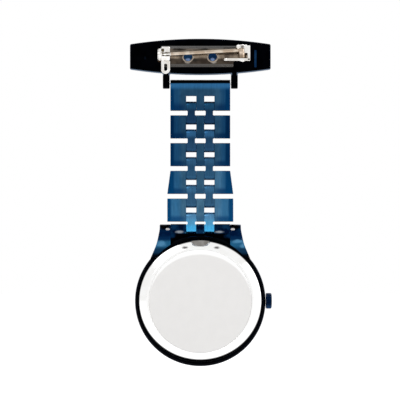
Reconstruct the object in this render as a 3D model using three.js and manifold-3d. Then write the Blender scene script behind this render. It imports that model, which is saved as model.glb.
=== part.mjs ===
// A fob watch: a bowed brooch bar with a locking bar pin, a hinged steel link bracelet of five rows,
// and a round quartz watch head that hangs upside down so that the wearer can read it.
// Sizes are in millimetres. Z is up, the dial faces -Y and the brooch pin faces +Y.
// The origin is the middle of the pin strip's rear face, where the clothing lies against it.
import * as THREE from "three";
import { mergeVertices } from "three/addons/utils/BufferGeometryUtils.js";
import Module from "manifold-3d";

const wasm = await Module();
wasm.setup();

// Brooch bar, bowed above and below, with two prongs that hold the bracelet
const BROOCH_LENGTH = 38.8;
const BROOCH_MID_HEIGHT = 10;
const BROOCH_END_HEIGHT = 7;
const BROOCH_THICKNESS = 2.4;
const BROOCH_EDGE = 0.35;
const PRONG_WIDTH = 1.9;
const PRONG_ROOT = 1.7;
const UPPER_BAR_DROP = 7.6;

// Bar pin: a folded strip with a hinge at one end and a locking catch at the other
const STRIP_LENGTH = 25.4;
const STRIP_HEIGHT = 6;
const STRIP_THICKNESS = 0.6;
const STRIP_SHIFT = -1;
const STRIP_CORNER_RADIUS = 0.65;
const STRIP_TAB_HALF_HEIGHT = 1.95;
const STRIP_NOTCH_LENGTH = 4.6;
const STRIP_HOLE_RADIUS = 1.25;
const STRIP_HOLE_SPACING = 6.8;
const PIN_STANDOFF = 2.5;
const PIN_RADIUS = 0.5;
const PIN_POINT = 2.2;
const PIN_RISE = 1.25;
const HINGE_INSET = 2.2;
const EAR_TOP = 3;
const EAR_BOTTOM = -1.2;
const EAR_THICKNESS = 0.7;
const UPPER_EAR_LENGTH = 4;
const LOWER_EAR_LENGTH = 7.4;
const EYE_RADIUS = 1.1;
const RIVET_RADIUS = 0.45;
const RIVET_HEAD_RADIUS = 0.8;
const RIVET_HEAD_HEIGHT = 0.3;
const CATCH_AXIS_HEIGHT = 0.5;
const CATCH_RING_RADIUS = 2.3;
const CATCH_BORE_RADIUS = 0.85;
const CATCH_MOUTH = 1.3;
const CATCH_WIDTH = 2.45;
const CATCH_NECK_RADIUS = 1.25;
const CATCH_HOOP_WIDTH = 0.6;
const CATCH_HOOP_WALL = 0.4;
const CATCH_FLANGE = 0.25;
const LEVER_REACH = 5.3;
const LEVER_THICKNESS = 0.6;
const LEVER_SLOT_LENGTH = 2.3;
const LEVER_SLOT_WIDTH = 1.1;

// Bracelet
const ROW_COUNT = 5;
const ROW_PITCH = 7.65;
const LINK_HEIGHT = 6.4;
const LINK_THICKNESS = 2.6;
const LINK_ROUNDING = 0.6;
const BAND_WIDTH = 16.5;
const BAND_WIDTH_AT_HEAD = 18.2;
const CENTRE_LINK_WIDTH = 2.2;
const CONNECTOR_WIDTH = 2.6;
const SIDE_GAP = 0.1;
const CONNECTOR_SPAN = 4.03;
const CONNECTOR_THICKNESS = 2.38;
const CONNECTOR_NECK_INSET = 0.3;
const CONNECTOR_NECK_MARGIN = 0.1;
const FIRST_LINK_SPAN = 5.87;
const FIRST_LINK_SHOULDER = 3.2;
const LINK_PIN_RADIUS = 0.45;
const PIN_PLAY = 0.08;
const LAST_CONNECTOR_SPAN = 3.53;
const KNUCKLE_RADIUS = 1.15;

// Spring bars
const BAR_RADIUS = 0.7;
const BAR_BORE_RADIUS = 0.5;
const BAR_TIP_RADIUS = 0.4;
const BAR_TIP_REACH = 1;
const BAR_TIP_LENGTH = 3.4;
const BAR_PLAY = 0.06;
const BAR_END_GAP = 0.2;
const TIP_HOLE_DEPTH = 1.25;

// Case
const CASE_RADIUS = 18;
const CASE_WALL = 2.8;
const CASE_FRONT = -2.6;
const CASE_REAR = 2.2;
const CASE_EDGE = 0.8;
const LUG_REACH = 1.7;
const LUG_INNER = 8.2;
const LUG_TIP_OUTER = 11.2;
const LUG_WAIST_OUTER = 12;
const LUG_WAIST_DROP = 3.9;
const LUG_ROOT_OUTER = 13.8;
const LUG_TIP_RADIUS = 1.4;
const LUG_TAPER_DROP = 7.5;
const END_LINK_RISE = 1.5;
const END_LINK_GAP = 0.05;
const END_LINK_WEB = 0.6;
const END_LINK_WEB_DROP = 0.5;

// Bezel, crystal and back
const BEZEL_INSET = 0.6;
const BEZEL_HEIGHT = 2;
const BEZEL_SLOPE = 1;
const BEZEL_WALL = 0.5;
const BEZEL_LEDGE_WIDTH = 0.6;
const BEZEL_LEDGE_HEIGHT = 1;
const CRYSTAL_THICKNESS = 1.1;
const CRYSTAL_BEVEL = 0.3;
const GASKET_WIDTH = 0.4;
const BACK_INSET = 1.2;
const BACK_RIM_HEIGHT = 0.45;
const BACK_HEIGHT = 1.5;
const BACK_WALL = 0.8;
const BACK_SNAP_WALL = 0.4;
const BACK_SNAP_DEPTH = 1;
const BACK_PLAY = 0.12;
const BACK_RIM_WIDTH = 2.6;
const BACK_DISC_THICKNESS = 0.35;
const BACK_DISC_PLAY = 0.03;
const BACK_FLOOR = 1.1;
const NOTCH_RADIUS = 3.2;
const NOTCH_OFFSET = 1.4;
const BACK_GASKET_HEIGHT = 0.5;

// Dial and hands
const DIAL_GAP = 0.4;
const DIAL_FRONT = -2.3;
const DIAL_THICKNESS = 0.4;
const DIAL_HOLE_RADIUS = 1.1;
const INDEX_INSET = 1.1;
const INDEX_LENGTH = 2;
const INDEX_WIDTH = 0.7;
const INDEX_HEIGHT = 0.2;
const HAND_THICKNESS = 0.15;
const HAND_STEP = 0.3;
const HAND_CLEARANCE = 0.3;
const HOUR_HAND_LENGTH = 8;
const MINUTE_HAND_LENGTH = 11.6;
const SECOND_HAND_LENGTH = 12.4;
const HOUR_HAND_WIDTH = 1.3;
const MINUTE_HAND_WIDTH = 1;
const SECOND_HAND_WIDTH = 0.35;
const HAND_TAIL = 2.6;
const SHOWN_HOURS = 10;
const SHOWN_MINUTES = 10;
const SHOWN_SECONDS = 36;

// Movement
const MOVEMENT_RADIUS = 11;
const HOLDER_GAP = 0.2;
const PLATE_FRONT = -1;
const PLATE_THICKNESS = 0.7;
const BRIDGE_FRONT = 1.05;
const BRIDGE_THICKNESS = 0.45;
const PILLAR_RADIUS = 0.6;
const PILLAR_CIRCLE = 9.2;
const PILLAR_ANGLES = [99, 150, 210];
const BOARD_PILLAR_ANGLES = [-30, -48];
const WHEEL_THICKNESS = 0.2;
const LAYER_STEP = 0.3;
const ARBOR_RADIUS = 0.18;
const ARBOR_PLAY = 0.07;
const TUBE_RADIUS = 0.5;
const PIPE_RADIUS = 0.85;
const HUB_WALL = 0.35;
const TRAIN_MODULE = 0.12;
const THIRD_WHEEL_TEETH = 45;
const CENTRE_WHEEL_TEETH = 48;
const FOURTH_WHEEL_TEETH = 30;
const FIFTH_WHEEL_TEETH = 36;
const PINION_TEETH = 6;
const MOTION_MODULE = 0.15;
const TOOTH_ADDENDUM = 0.8;
const TOOTH_DEDENDUM = 1.1;
const TOOTH_ROOT_SHARE = 0.28;
const CANNON_TEETH = 10;
const MINUTE_WHEEL_TEETH = 30;
const MINUTE_PINION_TEETH = 8;
const HOUR_WHEEL_TEETH = 32;
const ROTOR_MAGNET_RADIUS = 0.6;
const ROTOR_MAGNET_HEIGHT = 0.5;
const STATOR_THICKNESS = 0.4;
const STATOR_FRONT = -0.05;
const STATOR_HALF_WIDTH = 4.5;
const STATOR_LIMB = 0.8;
const STATOR_AIR_GAP = 0.2;
const STATOR_TOP = -4.35;
const STATOR_BOTTOM = -9;
const STATOR_WAIST = -6.9;
const COIL_LENGTH = 6.2;
const COIL_WALL = 0.3;
const COIL_GAP = 0.06;
const BATTERY_RADIUS = 3.4;
const BATTERY_THICKNESS = 2.1;
const BATTERY_X = 6.4;
const BATTERY_Z = 3.2;
const BATTERY_STEP = 0.25;
const CLAMP_WIDTH = 1.6;
const CLAMP_THICKNESS = 0.2;
const BOARD_EDGE_X = 3;
const BOARD_EDGE_Z = -0.6;
const LEVER_ROOM = 2.4;

// Crown and stem
const CROWN_RADIUS = 2.15;
const CROWN_LENGTH = 1.7;
const CROWN_GAP = 0.05;
const CROWN_FLUTES = 20;
const CROWN_FLUTE_DEPTH = 0.12;
const CROWN_RECESS_RADIUS = 1.45;
const CROWN_RECESS_DEPTH = 1.1;
const CASE_TUBE_RADIUS = 1;
const CASE_TUBE_BORE = 0.6;
const CASE_TUBE_STANDOUT = 0.7;
const STEM_RADIUS = 0.5;
const STEM_ENTRY = 2.6;
const STEM_GROOVE_RADIUS = 0.3;
const STEM_GROOVE_WIDTH = 0.4;
const STEM_GROOVE_INSET = 0.7;
const SEAL_RADIUS = 1.35;
const SEAL_WIDTH = 0.3;
const CLOSE_FIT = 0.05;

// Segments of round shapes
const FINE = 48;
const ROUND = 20;
const HIDDEN = 32;
const SMALL = 10;

// Places that follow from the sizes
const BAND_Y = -STRIP_THICKNESS - BROOCH_THICKNESS / 2;
const UPPER_AXIS_Z = -UPPER_BAR_DROP;
const ROW_PIN_SPAN = ROW_PITCH - CONNECTOR_SPAN;
const LINK_OVERHANG = (LINK_HEIGHT - ROW_PIN_SPAN) / 2;
const FIRST_PIN_Z = UPPER_AXIS_Z - FIRST_LINK_SPAN;
const lowerPinZ = (row) => FIRST_PIN_Z - row * ROW_PITCH;
const upperPinZ = (row) => lowerPinZ(row) + ROW_PIN_SPAN;
const LOWER_AXIS_Z = lowerPinZ(ROW_COUNT - 1) - LAST_CONNECTOR_SPAN;
const CASE_Z = LOWER_AXIS_Z - CASE_RADIUS - LUG_REACH;
const CONNECTOR_INNER = CENTRE_LINK_WIDTH / 2 + SIDE_GAP;
const CONNECTOR_OUTER = CONNECTOR_INNER + CONNECTOR_WIDTH;
const OUTER_LINK_INNER = CONNECTOR_OUTER + SIDE_GAP;
const HINGE_X = STRIP_SHIFT - STRIP_LENGTH / 2 + HINGE_INSET;
const STRIP_START = STRIP_SHIFT - STRIP_LENGTH / 2;
const STRIP_END = STRIP_SHIFT + STRIP_LENGTH / 2;
const CATCH_END = STRIP_END - CATCH_FLANGE - CATCH_HOOP_WIDTH - 2 * CLOSE_FIT;
const CATCH_START = CATCH_END - CATCH_WIDTH;
const PRONG_INNER = BAND_WIDTH / 2 + BAR_END_GAP;

// Solids
const TINY = 1e-4;

// A closed geometry as a solid whose faces point out.
function solidOf(geometry) {
  const bare = new THREE.BufferGeometry();
  const source = geometry.index ? geometry.toNonIndexed() : geometry;
  bare.setAttribute("position", source.getAttribute("position").clone());
  const merged = mergeVertices(bare, TINY);
  const index = merged.index.array;
  const faces = [];
  for (let i = 0; i < index.length; i += 3) {
    const [a, b, c] = [index[i], index[i + 1], index[i + 2]];
    if (a !== b && b !== c && c !== a) faces.push(a, b, c);
  }
  const build = (list) =>
    new wasm.Manifold(
      new wasm.Mesh({
        numProp: 3,
        vertProperties: merged.attributes.position.array,
        triVerts: new Uint32Array(list),
      }),
    );
  const made = build(faces);
  if (made.volume() >= 0) return made;
  const turned = [];
  for (let i = 0; i < faces.length; i += 3) turned.push(faces[i], faces[i + 2], faces[i + 1]);
  return build(turned);
}

function geometryOf(solid) {
  const mesh = solid.getMesh();
  const geometry = new THREE.BufferGeometry();
  geometry.setAttribute("position", new THREE.BufferAttribute(mesh.vertProperties, 3));
  geometry.setIndex(new THREE.BufferAttribute(mesh.triVerts, 1));
  const flat = geometry.toNonIndexed();
  flat.computeVertexNormals();
  return flat;
}

const join = (first, ...others) => others.reduce((made, other) => made.add(other), first);
const cut = (first, ...others) => others.reduce((made, other) => made.subtract(other), first);

function box(x0, x1, y0, y1, z0, z1) {
  const geometry = new THREE.BoxGeometry(x1 - x0, y1 - y0, z1 - z0);
  return solidOf(geometry.translate((x0 + x1) / 2, (y0 + y1) / 2, (z0 + z1) / 2));
}

// A round rod between two places on its axis; u and v are its centre in the other two directions.
function rod(axis, radius, from, to, u, v, segments = ROUND, endRadius = radius) {
  const geometry = new THREE.CylinderGeometry(endRadius, radius, to - from, segments);
  geometry.translate(0, (from + to) / 2, 0);
  if (axis === "x") return solidOf(geometry.rotateZ(-Math.PI / 2).translate(0, u, v));
  if (axis === "z") return solidOf(geometry.rotateX(Math.PI / 2).translate(u, v, 0));
  return solidOf(geometry.translate(u, 0, v));
}

// A ring or a disc turned about the Y axis from a closed profile of [radius, y] points.
function turned(profile, segments = FINE) {
  const points = profile.map(([radius, y]) => new THREE.Vector2(radius, y));
  if (profile.every(([radius]) => radius > 0)) points.push(points[0].clone());
  return solidOf(new THREE.LatheGeometry(points, segments));
}

function shapeOf(points) {
  return new THREE.Shape(points.map(([u, v]) => new THREE.Vector2(u, v)));
}

// An outline in X and Z, pushed along Y from y0 to y1.
function plateY(shape, y0, y1, edge = 0, curveSegments = ROUND) {
  const geometry = new THREE.ExtrudeGeometry(shape, {
    depth: y1 - y0 - 2 * edge,
    bevelEnabled: edge > 0,
    bevelThickness: edge,
    bevelSize: edge,
    bevelOffset: -edge,
    bevelSegments: 1,
    curveSegments,
  });
  return solidOf(geometry.rotateX(Math.PI / 2).translate(0, y1 - edge, 0));
}

// An outline in Y and Z, pushed along X from x0 to x1.
function plateX(shape, x0, x1, curveSegments = SMALL) {
  const geometry = new THREE.ExtrudeGeometry(shape, {
    depth: x1 - x0,
    bevelEnabled: false,
    curveSegments,
  });
  const turn = new THREE.Matrix4().makeBasis(
    new THREE.Vector3(0, 1, 0),
    new THREE.Vector3(0, 0, 1),
    new THREE.Vector3(1, 0, 0),
  );
  return solidOf(geometry.applyMatrix4(turn).translate(x0, 0, 0));
}

// A rectangle with rounded corners.
function roundedRectangle(u0, u1, v0, v1, radius) {
  const shape = new THREE.Shape();
  shape.moveTo(u0 + radius, v0);
  shape.lineTo(u1 - radius, v0);
  shape.absarc(u1 - radius, v0 + radius, radius, -Math.PI / 2, 0);
  shape.absarc(u1 - radius, v1 - radius, radius, 0, Math.PI / 2);
  shape.absarc(u0 + radius, v1 - radius, radius, Math.PI / 2, Math.PI);
  shape.absarc(u0 + radius, v0 + radius, radius, Math.PI, (3 * Math.PI) / 2);
  return shape;
}

// Materials
const finish = (color, roughness, metalness) => () =>
  new THREE.MeshStandardMaterial({ color, roughness, metalness });
const BLACK_STEEL = finish(0x05070c, 0.3, 0.9);
const BLUE_STEEL = finish(0x1d4a70, 0.38, 0.9);
const PALE_BLUE_STEEL = finish(0x2f5670, 0.35, 0.9);
const DARK_BLUE_STEEL = finish(0x07172d, 0.28, 0.9);
const BRIGHT_STEEL = finish(0xd9d9d8, 0.15, 1);
const SATIN_STEEL = finish(0xe9e7e6, 0.55, 0.6);
const BRASS = finish(0xc9a24e, 0.35, 0.9);
const COPPER = finish(0xb4622e, 0.4, 0.8);
const GLASS = finish(0xf2f6f8, 0.05, 0);
const SEAL = finish(0x1b1b1c, 0.7, 0);
const PLASTIC = finish(0xe4e2dc, 0.5, 0);
const DIAL_WHITE = finish(0xf4f4f1, 0.45, 0.05);
const BOARD_GREEN = finish(0x1f5a3a, 0.5, 0);

function mesh(name, solid, material, place = [0, 0, 0]) {
  const made = new THREE.Mesh(geometryOf(solid), material());
  made.name = name;
  made.position.set(...place);
  return made;
}

// Brooch bar
function broochBar() {
  const half = BROOCH_LENGTH / 2;
  const rise = (BROOCH_MID_HEIGHT - BROOCH_END_HEIGHT) / 2;
  const radius = (half * half + rise * rise) / (2 * rise);
  const centre = BROOCH_MID_HEIGHT / 2 - radius;
  const sweep = Math.asin(half / radius);
  const outline = new THREE.Shape();
  outline.absarc(0, centre, radius, Math.PI / 2 - sweep, Math.PI / 2 + sweep);
  outline.absarc(0, -centre, radius, -Math.PI / 2 - sweep, -Math.PI / 2 + sweep);
  const front = -STRIP_THICKNESS - BROOCH_THICKNESS;
  const bar = plateY(outline, front, -STRIP_THICKNESS, BROOCH_EDGE, SMALL);
  const prongs = [-1, 1].map((side) => {
    const tab = roundedTab(BAND_Y, UPPER_AXIS_Z, BROOCH_THICKNESS / 2, PRONG_ROOT - BROOCH_END_HEIGHT / 2);
    const inner = Math.min(side * PRONG_INNER, side * (PRONG_INNER + PRONG_WIDTH));
    const prong = plateX(tab, inner, inner + PRONG_WIDTH);
    return cut(prong, tipHole(side, PRONG_INNER, BAND_Y, UPPER_AXIS_Z));
  });
  return mesh("brooch_bar", join(bar, ...prongs), BLACK_STEEL);
}

// A tab in Y and Z whose lower end is round about (y, z).
function roundedTab(y, z, radius, top) {
  const shape = new THREE.Shape();
  shape.moveTo(y + radius, top);
  shape.lineTo(y - radius, top);
  shape.absarc(y, z, radius, Math.PI, 2 * Math.PI);
  return shape;
}

// The blind hole in a prong or a lug that takes the tip of a spring bar.
function tipHole(side, inner, y, z) {
  const ends = [side * (inner - CLOSE_FIT), side * (inner + TIP_HOLE_DEPTH)];
  const radius = BAR_TIP_RADIUS + PIN_PLAY;
  return rod("x", radius, Math.min(...ends), Math.max(...ends), y, z, SMALL);
}

// Bar pin: the lower ear is bent up out of the strip and leaves a notch below it, and the strip ends
// in a tab that carries the catch.
function pinBase() {
  const halfHeight = STRIP_HEIGHT / 2;
  const outline = roundedRectangle(STRIP_START, STRIP_END, -halfHeight, halfHeight, STRIP_CORNER_RADIUS);
  const tabStart = CATCH_END + CLOSE_FIT;
  const tabTop = CATCH_AXIS_HEIGHT + STRIP_TAB_HALF_HEIGHT;
  const tabBottom = CATCH_AXIS_HEIGHT - STRIP_TAB_HALF_HEIGHT;
  const [y0, y1] = [-2 * STRIP_THICKNESS, STRIP_THICKNESS];
  const strip = cut(
    plateY(outline, -STRIP_THICKNESS, 0, 0, 4),
    box(tabStart, STRIP_END + 1, y0, y1, tabTop, STRIP_HEIGHT),
    box(tabStart, STRIP_END + 1, y0, y1, -STRIP_HEIGHT, tabBottom),
    box(STRIP_START - 1, STRIP_START + STRIP_NOTCH_LENGTH, y0, y1, -STRIP_HEIGHT, EAR_BOTTOM),
  );
  const holes = [-1, 1].map((side) =>
    rod("y", STRIP_HOLE_RADIUS, y0, y1, side * STRIP_HOLE_SPACING / 2, 0),
  );
  const reach = PIN_STANDOFF + EYE_RADIUS;
  const top = hingeEar(UPPER_EAR_LENGTH, reach, EAR_TOP - EAR_THICKNESS, EAR_TOP);
  const bottom = hingeEar(LOWER_EAR_LENGTH, reach, EAR_BOTTOM, EAR_BOTTOM + EAR_THICKNESS);
  const wallEnd = STRIP_START + EAR_THICKNESS;
  const wall = box(STRIP_START, wallEnd, -STRIP_THICKNESS, PIN_STANDOFF, EAR_BOTTOM, EAR_TOP);
  return mesh("pin_base", cut(join(strip, top, bottom, wall), ...holes), BRIGHT_STEEL);
}

// One ear of the pin's hinge: a plate that stands off the strip, rounded at its free corner.
function hingeEar(length, reach, z0, z1) {
  const shape = new THREE.Shape();
  const fillet = EYE_RADIUS;
  shape.moveTo(STRIP_START, -STRIP_THICKNESS);
  shape.lineTo(STRIP_START + length, -STRIP_THICKNESS);
  shape.lineTo(STRIP_START + length, reach / 2);
  shape.absarc(STRIP_START + length - fillet, reach - fillet, fillet, 0, Math.PI / 2);
  shape.lineTo(STRIP_START, reach);
  const geometry = new THREE.ExtrudeGeometry(shape, {
    depth: z1 - z0,
    bevelEnabled: false,
    curveSegments: 6,
  });
  const ear = solidOf(geometry.translate(0, 0, z0));
  const hole = rod("z", RIVET_RADIUS + CLOSE_FIT, z0 - 1, z1 + 1, HINGE_X, PIN_STANDOFF, SMALL);
  return cut(ear, hole);
}

function pinHingeRivet() {
  const sunk = RIVET_HEAD_HEIGHT / 2;
  const shank = rod("z", RIVET_RADIUS, EAR_BOTTOM - sunk, EAR_TOP + sunk, HINGE_X, PIN_STANDOFF, SMALL);
  const heads = [
    rod("z", RIVET_HEAD_RADIUS, EAR_BOTTOM - RIVET_HEAD_HEIGHT, EAR_BOTTOM, HINGE_X, PIN_STANDOFF, SMALL),
    rod("z", RIVET_HEAD_RADIUS, EAR_TOP, EAR_TOP + RIVET_HEAD_HEIGHT, HINGE_X, PIN_STANDOFF, SMALL),
  ];
  return mesh("pin_hinge_rivet", join(shank, ...heads), BRIGHT_STEEL);
}

function pinStem() {
  const tipX = CATCH_END - 3 * CLOSE_FIT;
  const low = EAR_BOTTOM + EAR_THICKNESS + CLOSE_FIT;
  const high = EAR_TOP - EAR_THICKNESS - CLOSE_FIT;
  const rootZ = CATCH_AXIS_HEIGHT + PIN_RISE;
  const eye = rod("z", EYE_RADIUS, low, high, HINGE_X, PIN_STANDOFF, SMALL);
  const hole = rod("z", RIVET_RADIUS + CLOSE_FIT, low - 1, high + 1, HINGE_X, PIN_STANDOFF, SMALL);
  const length = tipX - HINGE_X;
  const slope = Math.atan2(PIN_RISE, length);
  const wire = join(
    rod("x", PIN_RADIUS, 0, length - PIN_POINT, 0, 0, SMALL),
    rod("x", PIN_RADIUS, length - PIN_POINT, length, 0, 0, SMALL, PIN_RADIUS / 5),
  );
  const placed = wire
    .rotate([0, THREE.MathUtils.radToDeg(slope), 0])
    .translate([HINGE_X, PIN_STANDOFF, rootZ]);
  return mesh("pin_stem", cut(join(eye, placed), hole), BRIGHT_STEEL);
}

function catchHoop() {
  const start = CATCH_END + CLOSE_FIT;
  const end = start + CATCH_HOOP_WIDTH;
  const inner = CATCH_NECK_RADIUS + BAR_PLAY;
  const outer = inner + CATCH_HOOP_WALL;
  const ring = rod("x", outer, start, end, PIN_STANDOFF, CATCH_AXIS_HEIGHT);
  const foot = box(start, end, 0, PIN_STANDOFF, CATCH_AXIS_HEIGHT - outer, CATCH_AXIS_HEIGHT + outer);
  const bore = rod("x", inner, start - 1, end + 1, PIN_STANDOFF, CATCH_AXIS_HEIGHT);
  return mesh("catch_hoop", cut(join(ring, foot), bore), BRIGHT_STEEL);
}

function catchLever() {
  const y = PIN_STANDOFF;
  const z = CATCH_AXIS_HEIGHT;
  const ring = rod("x", CATCH_RING_RADIUS, CATCH_START, CATCH_END, y, z);
  const bore = rod("x", CATCH_BORE_RADIUS, CATCH_START - 1, CATCH_END, y, z);
  const mouth = box(
    CATCH_START - 1, CATCH_END, y, y + 2 * CATCH_RING_RADIUS, z - CATCH_MOUTH / 2, z + CATCH_MOUTH / 2,
  );
  const hoopSpace = CATCH_HOOP_WIDTH + 2 * CLOSE_FIT;
  const neck = rod("x", CATCH_NECK_RADIUS, CATCH_END, CATCH_END + hoopSpace, y, z);
  const flangeRadius = CATCH_NECK_RADIUS + BAR_PLAY + CATCH_HOOP_WALL / 2;
  const flange = rod("x", flangeRadius, CATCH_END + hoopSpace, CATCH_END + hoopSpace + CATCH_FLANGE, y, z);
  const middle = (CATCH_START + CATCH_END) / 2;
  const round = CATCH_WIDTH / 2;
  const blade = new THREE.Shape();
  blade.moveTo(CATCH_END, z - CATCH_BORE_RADIUS);
  blade.lineTo(CATCH_START, z - CATCH_BORE_RADIUS);
  blade.absarc(middle, z - LEVER_REACH + round, round, Math.PI, 2 * Math.PI);
  const slot = roundedRectangle(
    middle - LEVER_SLOT_WIDTH / 2,
    middle + LEVER_SLOT_WIDTH / 2,
    z - LEVER_REACH + round / 2,
    z - LEVER_REACH + round / 2 + LEVER_SLOT_LENGTH,
    LEVER_SLOT_WIDTH / 2 - CLOSE_FIT,
  );
  const bladeY = y + LEVER_THICKNESS;
  const plate = cut(
    plateY(blade, bladeY, bladeY + LEVER_THICKNESS, 0, 8),
    plateY(slot, bladeY - 1, bladeY + LEVER_THICKNESS + 1, 0, 4),
  );
  const open = cut(join(ring, plate), bore, mouth);
  return mesh("catch_lever", join(open, neck, flange), BRIGHT_STEEL);
}

// Spring bars
function springBar(name, y, z, halfSpan) {
  const half = halfSpan - BAR_END_GAP;
  const tube = cut(
    rod("x", BAR_RADIUS, -half, half, y, z, SMALL),
    rod("x", BAR_BORE_RADIUS, -half - 1, half + 1, y, z, SMALL),
  );
  const end = halfSpan + BAR_TIP_REACH;
  const tips = [["a", -1], ["b", 1]].map(([letter, side]) => {
    const ends = [side * (end - BAR_TIP_LENGTH), side * end];
    const tip = rod("x", BAR_TIP_RADIUS, Math.min(...ends), Math.max(...ends), y, z, SMALL);
    return mesh(`${name}_tip_${letter}`, tip, BRIGHT_STEEL);
  });
  return [mesh(`${name}_tube`, tube, BRIGHT_STEEL), ...tips];
}

// Bracelet rows
// The half width of the bracelet at a height: even, and flared through the fourth row to the head's width.
function halfWidthAt(row, isTop) {
  const flareRow = ROW_COUNT - 2;
  const wide = row > flareRow || (row === flareRow && !isTop);
  return (wide ? BAND_WIDTH_AT_HEAD : BAND_WIDTH) / 2;
}

// An outer link, cut from a block to the outline that the flare gives it.
function outerLink(row, side, z0, z1, profile) {
  const topHalf = halfWidthAt(row, true);
  const bottomHalf = halfWidthAt(row, false);
  const ends = [side * OUTER_LINK_INNER, side * Math.max(topHalf, bottomHalf)];
  const block = plateX(profile, Math.min(...ends), Math.max(...ends), 2);
  if (topHalf === bottomHalf) return block;
  const outline = shapeOf([
    [side * OUTER_LINK_INNER, z0],
    [side * bottomHalf, z0],
    [side * topHalf, z1],
    [side * OUTER_LINK_INNER, z1],
  ]);
  return block.intersect(plateY(outline, BAND_Y - LINK_THICKNESS, BAND_Y + LINK_THICKNESS));
}

function linkPin(z, halfWidth) {
  const half = halfWidth - LINK_THICKNESS / 2;
  return rod("x", LINK_PIN_RADIUS, -half, half, BAND_Y, z, SMALL);
}

function linkRow(row) {
  const z0 = lowerPinZ(row) - LINK_OVERHANG;
  const z1 = upperPinZ(row) + LINK_OVERHANG;
  const [y0, y1] = [BAND_Y - LINK_THICKNESS / 2, BAND_Y + LINK_THICKNESS / 2];
  const profile = roundedRectangle(y0, y1, z0, z1, LINK_ROUNDING);
  const centre = plateX(profile, -CENTRE_LINK_WIDTH / 2, CENTRE_LINK_WIDTH / 2, 2);
  const solid = join(
    centre,
    outerLink(row, -1, z0, z1, profile),
    outerLink(row, 1, z0, z1, profile),
    linkPin(upperPinZ(row), BAND_WIDTH / 2),
    linkPin(lowerPinZ(row), BAND_WIDTH / 2),
  );
  return mesh(`link_row_${row + 1}`, solid, BLUE_STEEL);
}

// The first row is longer: its top is one barrel round the upper spring bar.
function firstRow() {
  const radius = LINK_THICKNESS / 2;
  const bottom = lowerPinZ(0) - LINK_OVERHANG;
  const profile = new THREE.Shape();
  const cornerZ = bottom + LINK_ROUNDING;
  const cornerY = radius - LINK_ROUNDING;
  profile.moveTo(BAND_Y - radius, cornerZ);
  profile.absarc(BAND_Y - cornerY, cornerZ, LINK_ROUNDING, Math.PI, 1.5 * Math.PI);
  profile.absarc(BAND_Y + cornerY, cornerZ, LINK_ROUNDING, 1.5 * Math.PI, 2 * Math.PI);
  profile.absarc(BAND_Y, UPPER_AXIS_Z, radius, 0, Math.PI);
  const block = plateX(profile, -BAND_WIDTH / 2, BAND_WIDTH / 2, 6);
  const shoulder = UPPER_AXIS_Z - FIRST_LINK_SHOULDER;
  const slots = [-1, 1].map((side) => {
    const ends = [side * (CONNECTOR_INNER - SIDE_GAP), side * (CONNECTOR_OUTER + SIDE_GAP)];
    const [y0, y1] = [BAND_Y - LINK_THICKNESS, BAND_Y + LINK_THICKNESS];
    return box(Math.min(...ends), Math.max(...ends), y0, y1, bottom - 1, shoulder);
  });
  const bore = rod("x", BAR_RADIUS + BAR_PLAY, -BAND_WIDTH, BAND_WIDTH, BAND_Y, UPPER_AXIS_Z, SMALL);
  const solid = join(cut(block, bore, ...slots), linkPin(lowerPinZ(0), BAND_WIDTH / 2));
  return mesh("link_row_1", solid, BLUE_STEEL);
}

// A connector between two rows: a flat link with round ends and a narrower neck between the rows, free on
// the pins of both rows.
function connector(row, side, letter) {
  const isLast = row === ROW_COUNT - 1;
  const topZ = lowerPinZ(row);
  const bottomZ = isLast ? LOWER_AXIS_Z : upperPinZ(row + 1);
  const topRadius = CONNECTOR_THICKNESS / 2;
  const bottomRadius = isLast ? KNUCKLE_RADIUS : topRadius;
  const bottomBore = isLast ? BAR_RADIUS + BAR_PLAY : LINK_PIN_RADIUS + PIN_PLAY;
  const profile = new THREE.Shape();
  profile.absarc(BAND_Y, topZ, topRadius, 0, Math.PI);
  profile.absarc(BAND_Y, bottomZ, bottomRadius, Math.PI, 2 * Math.PI);
  const inner = Math.min(side * CONNECTOR_INNER, side * CONNECTOR_OUTER);
  const outer = inner + CONNECTOR_WIDTH;
  const [y0, y1] = [BAND_Y - CONNECTOR_THICKNESS, BAND_Y + CONNECTOR_THICKNESS];
  const neckEnd = LINK_OVERHANG - CONNECTOR_NECK_MARGIN;
  const solid = cut(
    plateX(profile, inner, outer, 6),
    box(inner - 1, inner + CONNECTOR_NECK_INSET, y0, y1, bottomZ + neckEnd, topZ - neckEnd),
    box(outer - CONNECTOR_NECK_INSET, outer + 1, y0, y1, bottomZ + neckEnd, topZ - neckEnd),
    rod("x", LINK_PIN_RADIUS + PIN_PLAY, inner - 1, outer + 1, BAND_Y, topZ, SMALL),
    rod("x", bottomBore, inner - 1, outer + 1, BAND_Y, bottomZ, SMALL),
  );
  return mesh(`connector_${row + 1}_${letter}`, solid, PALE_BLUE_STEEL);
}

// Watch head, in its own frame: X and Z about the case centre, Y about the bracelet's middle plane
const AXIS_UP = CASE_RADIUS + LUG_REACH;
const CASE_BORE_RADIUS = CASE_RADIUS - CASE_WALL;
const BEZEL_RADIUS = CASE_RADIUS - BEZEL_INSET;
const BEZEL_TOP_RADIUS = BEZEL_RADIUS - BEZEL_SLOPE;
const SEAT_RADIUS = BEZEL_TOP_RADIUS - BEZEL_WALL;
const CRYSTAL_RADIUS = SEAT_RADIUS - GASKET_WIDTH;
const BEZEL_LEDGE_RADIUS = CRYSTAL_RADIUS - BEZEL_LEDGE_WIDTH;
const BACK_RADIUS = CASE_RADIUS - BACK_INSET;
const BACK_DISC_RADIUS = BACK_RADIUS - BACK_RIM_WIDTH;
const NOTCH_CENTRE = BACK_RADIUS + NOTCH_OFFSET;
const DIAL_RADIUS = CASE_BORE_RADIUS - DIAL_GAP;
const INDEX_OUTER = DIAL_RADIUS - INDEX_INSET;
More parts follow.
